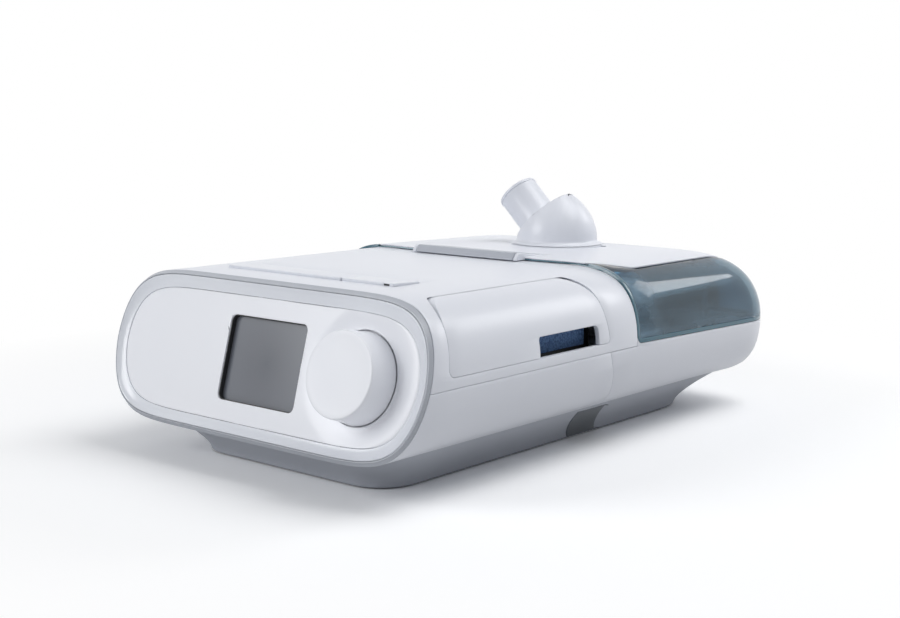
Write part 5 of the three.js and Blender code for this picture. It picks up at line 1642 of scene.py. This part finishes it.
    def bowed(self, margin: float, half_width: float, rear: float, low: float) -> Obj:
        """Model the region behind the lid's front edge, which bows forward to the latch.

        Args:
            margin: How far the edge is set back.
            half_width: Half the region's width at its rear.
            rear: How far it reaches behind the lid's seam.
            low: Where it starts.

        Returns:
            The region, up to far over the lid.
        """
        points = []
        for step in range(self.bow_steps + 1):
            share = step / self.bow_steps
            x = mixed(self.cover_front + 1, self.latch_half_width, share)
            forward = self.bow * math.sin(share * math.pi / 2)
            points.append((x, HULL.lid_seam + 0.4 - forward + margin))
        right = [(half_width, HULL.lid_seam + rear), *points]
        return prism([*right, *((-x, y) for x, y in reversed(right))], Way.Z, low)

    def over_band(self) -> Obj:
        """Model the room that the cover's front edge takes over the band."""
        return self.bowed(0, self.cover_front - 1, 4, self.band_low - 4)

    def band(self) -> None:
        """Model the teal band that shows under the cover's front edge."""
        obj = self.bowed(0.25, self.cover_front + 1, 2.3, self.band_low)
        shaped(obj, Cut.WITHIN, self.form(0.55))
        shaped(obj, Cut.AWAY, self.latch_room())
        softened(obj, 0.12, angle=50)
        settled(obj, "lid_front_band", Look.TEAL_EDGE, Carrier.LID)

    def hood(self) -> Obj:
        """Model the elbow's hood: a flared foot under a dome."""
        foot, flare_top = self.elbow_foot, self.elbow_foot + self.flare_rise
        profile = [(0.0, foot), (self.flare_radius, foot)]
        for step in range(1, 9):
            angle = step / 8 * math.pi / 2
            radius = mixed(self.flare_radius, self.hood_radius, math.sin(angle))
            height = mixed(self.flare_edge, self.flare_rise, 1 - math.cos(angle))
            profile.append((radius, foot + height))
        for step in range(1, 19):
            share = math.sin(step / 18 * math.pi / 2)
            radius = self.hood_radius * (1 - share**self.hood_swell) ** self.hood_power
            profile.append((radius if step < 18 else 0.0, flare_top + self.hood_rise * share))
        return spun(profile, (0, self.elbow_y), 112)

    def elbow(self) -> None:
        """Model the elbow: a hood cut by a slanted face, the spout that leaves it, and the neck."""
        obj, foot = self.hood(), self.elbow_foot
        slant = Vector((-1, 0, 1)).normalized()
        origin = Vector((0, self.elbow_y, foot - self.axis_sink))
        with editing(obj):
            face = {"plane_co": origin + slant * self.hood_face, "plane_no": slant}
            bpy.ops.mesh.bisect(**face, use_fill=True, clear_outer=True)
        clean(obj)
        end, (lip, lip_length) = origin + slant * self.spout_length, self.spout_lip
        spout = rod(self.spout_radius, origin + slant * self.spout_start, end)
        lip = rod(self.spout_radius + lip, end - slant * lip_length, end)
        shaped(obj, Cut.JOIN, spout, lip, self.upright(self.neck_radius, foot - 8, foot + 2))
        bend = Vector((0, self.elbow_y, foot + self.bend_rise))
        bpy.ops.mesh.primitive_uv_sphere_add(segments=64, ring_count=32, radius=self.bend_radius)
        ball = bpy.context.object
        ball.data.transform(Matrix.Translation(bend))
        neck_bore = self.upright(self.neck_bore, foot - 10, bend.z)
        bore = rod(self.bore_radius, origin + slant * self.bore_start, end + slant * 3)
        shaped(obj, Cut.AWAY, ball, neck_bore, bore)
        softened(obj, 0.3, 3, 50)
        settled(obj, "elbow_hood", Look.SATIN_WHITE, Carrier.ELBOW, "outlet_elbow")

    def collar(self) -> None:
        """Model the thin collar under the elbow, with the index mark on its rim."""
        low, radius, bore = self.collar_low, self.collar_radius, self.neck_radius + GAP
        top = low + self.collar_height
        outside = [(radius, low), (radius, top - 0.2), (radius - 0.2, top)]
        obj = spun([(bore, low), *outside, (bore, top)], (0, self.elbow_y))
        settled(obj, "elbow_ring", Look.COLLAR_WHITE, Carrier.LID, "elbow_collar")
        mark = block((radius + 0.2, -0.9, low - 0.4), (radius + 2.8, 0.9, low + 0.45))
        turn = Matrix.Rotation(self.mark_bearing, 4, "Z")
        mark.data.transform(Matrix.Translation((0, self.elbow_y, 0)) @ turn)
        softened(mark, 0.12)
        settled(mark, "index_mark", Look.TRIM_GREY, Carrier.LID)

    def build(self, tub: Humidifier) -> None:
        """Build the lid and what it carries."""
        self.glass(tub)
        self.cover(tub)
        self.band()
        self.latch()
        self.collar()
        self.elbow()


@dataclass(frozen=True)
class Lamp:
    """A square soft lamp that faces the machine, in metres and watts."""

    name: str
    place: Point
    size: float
    watts: float
    aim: Point = (0.0, 0.0, 0.05)

    def hang(self) -> None:
        """Hang the lamp."""
        data = bpy.data.lights.new(self.name, "AREA")
        data.size = self.size
        data.energy = self.watts
        obj = bpy.data.objects.new(self.name, data)
        bpy.context.scene.collection.objects.link(obj)
        turn = (Vector(self.aim) - Vector(self.place)).to_track_quat("-Z", "Y")
        obj.matrix_world = Matrix.Translation(self.place) @ turn.to_matrix().to_4x4()


@dataclass
class Studio:
    """A plain pale floor, soft lamps and the camera at the photograph's angle."""

    yaw: float = math.radians(40.132)
    pitch: float = math.radians(8.386)
    roll: float = math.radians(0.272)
    distance: float = 720.40
    target: Point = (-18.636, 150.0, 54.896)
    lens: float = 55.949
    sensor: float = 36.0
    sky: str = "#dfe3ea"
    sky_strength: float = 0.34
    floor_tone: str = "#d8d8d8"
    floor_gain: float = 1.12
    fade_scale: float = 2.6
    fade_edge: float = 0.6
    lamps: tuple[Lamp, ...] = (
        Lamp("top_softbox", (-0.2, 0.1, 1.3), 1.0, 0.6),
        Lamp("key_softbox", (0.5, 0.36, 1.18), 0.8, 8.0),
        Lamp("front_softbox", (-0.85, -1.5, 0.8), 0.9, 13.5),
        Lamp("shoulder_softbox", (0.48, 0.95, 0.66), 0.4, 2.4),
    )

    def camera(self) -> None:
        """Set up the camera."""
        level = Vector((math.sin(self.yaw), -math.cos(self.yaw), 0))
        back = level * math.cos(self.pitch) + Vector((0, 0, math.sin(self.pitch)))
        place = (Vector(self.target) + back * self.distance - Vector((0, SHIFT, 0))) * MM
        right = (-back).cross(Vector((0, 0, 1))).normalized()
        up = right.cross(-back)
        turned_right = right * math.cos(self.roll) + up * math.sin(self.roll)
        turned_up = up * math.cos(self.roll) - right * math.sin(self.roll)
        data = bpy.data.cameras.new("camera")
        data.lens = self.lens
        data.sensor_width = self.sensor
        data.sensor_fit = "HORIZONTAL"
        data.clip_start = 0.01
        data.clip_end = 50
        obj = bpy.data.objects.new("camera", data)
        bpy.context.scene.collection.objects.link(obj)
        turn = Matrix((turned_right, turned_up, back)).transposed().to_4x4()
        obj.matrix_world = Matrix.Translation(place) @ turn
        bpy.context.scene.camera = obj

    def surroundings(self) -> None:
        """Set the pale surroundings, which look white and light the scene less."""
        world = bpy.data.worlds.new("surroundings")
        shading = Shading(world)
        inputs = {"Color": rgb(self.sky), "Strength": self.sky_strength}
        dim = shading.add("Background", inputs)
        white = shading.add("Background", {"Color": (1, 1, 1, 1), "Strength": 1.0})
        shown = shading.add("MixShader", {0: shading.seen(), 1: dim, 2: white})
        shading.add("OutputWorld", {"Surface": shown})
        bpy.context.scene.world = world

    def floor(self) -> None:
        """Lay the pale floor, which turns into the white background away from the machine."""
        bpy.ops.mesh.primitive_grid_add(x_subdivisions=8, y_subdivisions=8, size=6)
        obj = bpy.context.object
        obj.name = "studio_floor"
        material = bpy.data.materials.new("pale_floor")
        shading = Shading(material)
        camera_ray = shading.add("LightPath", output="Is Camera Ray")
        tone = shading.mix(camera_ray, self.floor_tone, "#ffffff")
        tone = shading.add("VectorMath", {0: tone, "Scale": self.floor_gain}, operation="SCALE")
        matte = shading.add("BsdfDiffuse", {"Color": tone})
        white = shading.add("Emission", {"Color": (1, 1, 1, 1), "Strength": 1.0})
        place = shading.add("TexCoord", output="Object")
        near = shading.add("Mapping", {"Vector": place, "Scale": (self.fade_scale,) * 3})
        fade = shading.add("TexGradient", {"Vector": near}, "Fac", gradient_type="SPHERICAL")
        edge = shading.ramp(fade, (0.0, self.fade_edge))
        plain = shading.combine("SUBTRACT", 1.0, shading.seen())
        share = shading.combine("MAXIMUM", edge, plain)
        shown = shading.add("MixShader", {0: share, 1: white, 2: matte})
        shading.add("OutputMaterial", {"Surface": shown})
        obj.data.materials.append(material)

    def build(self) -> None:
        """Set up the whole studio."""
        self.camera()
        for lamp in self.lamps:
            lamp.hang()
        self.surroundings()
        self.floor()
        bpy.context.scene.view_settings.view_transform = "Standard"


def dress_frame() -> None:
    """Give every node of the frame the finish of its slot."""
    for part in frame["record"]["subparts"]:
        obj = frame["nodes"][part["node"]]
        obj.data.materials.clear()
        obj.data.materials.append(FINISHES[SLOT_FINISHES[part["material_slot"]]])


def main() -> None:
    """Build the studio and the machine's sub-assemblies in order."""
    logging.basicConfig(level=logging.INFO, format="%(message)s")
    deselect()
    Studio().build()
    dress_frame()
    housing, plinth, tub = TherapyHousing(), Plinth(), Humidifier()
    FrontFace().build()
    shell = HULL.shell(WALL)
    hole = prism(plinth.top(-0.1), Way.Z, 0, 44)
    housing.upper(shell)
    housing.lower(shell, copied(hole))
    housing.doors()
    housing.buttons()
    tub.build(shell, hole)
    removed(shell)
    plinth.build()
    Lid().build(tub)


if __name__ == "__main__":
    main()
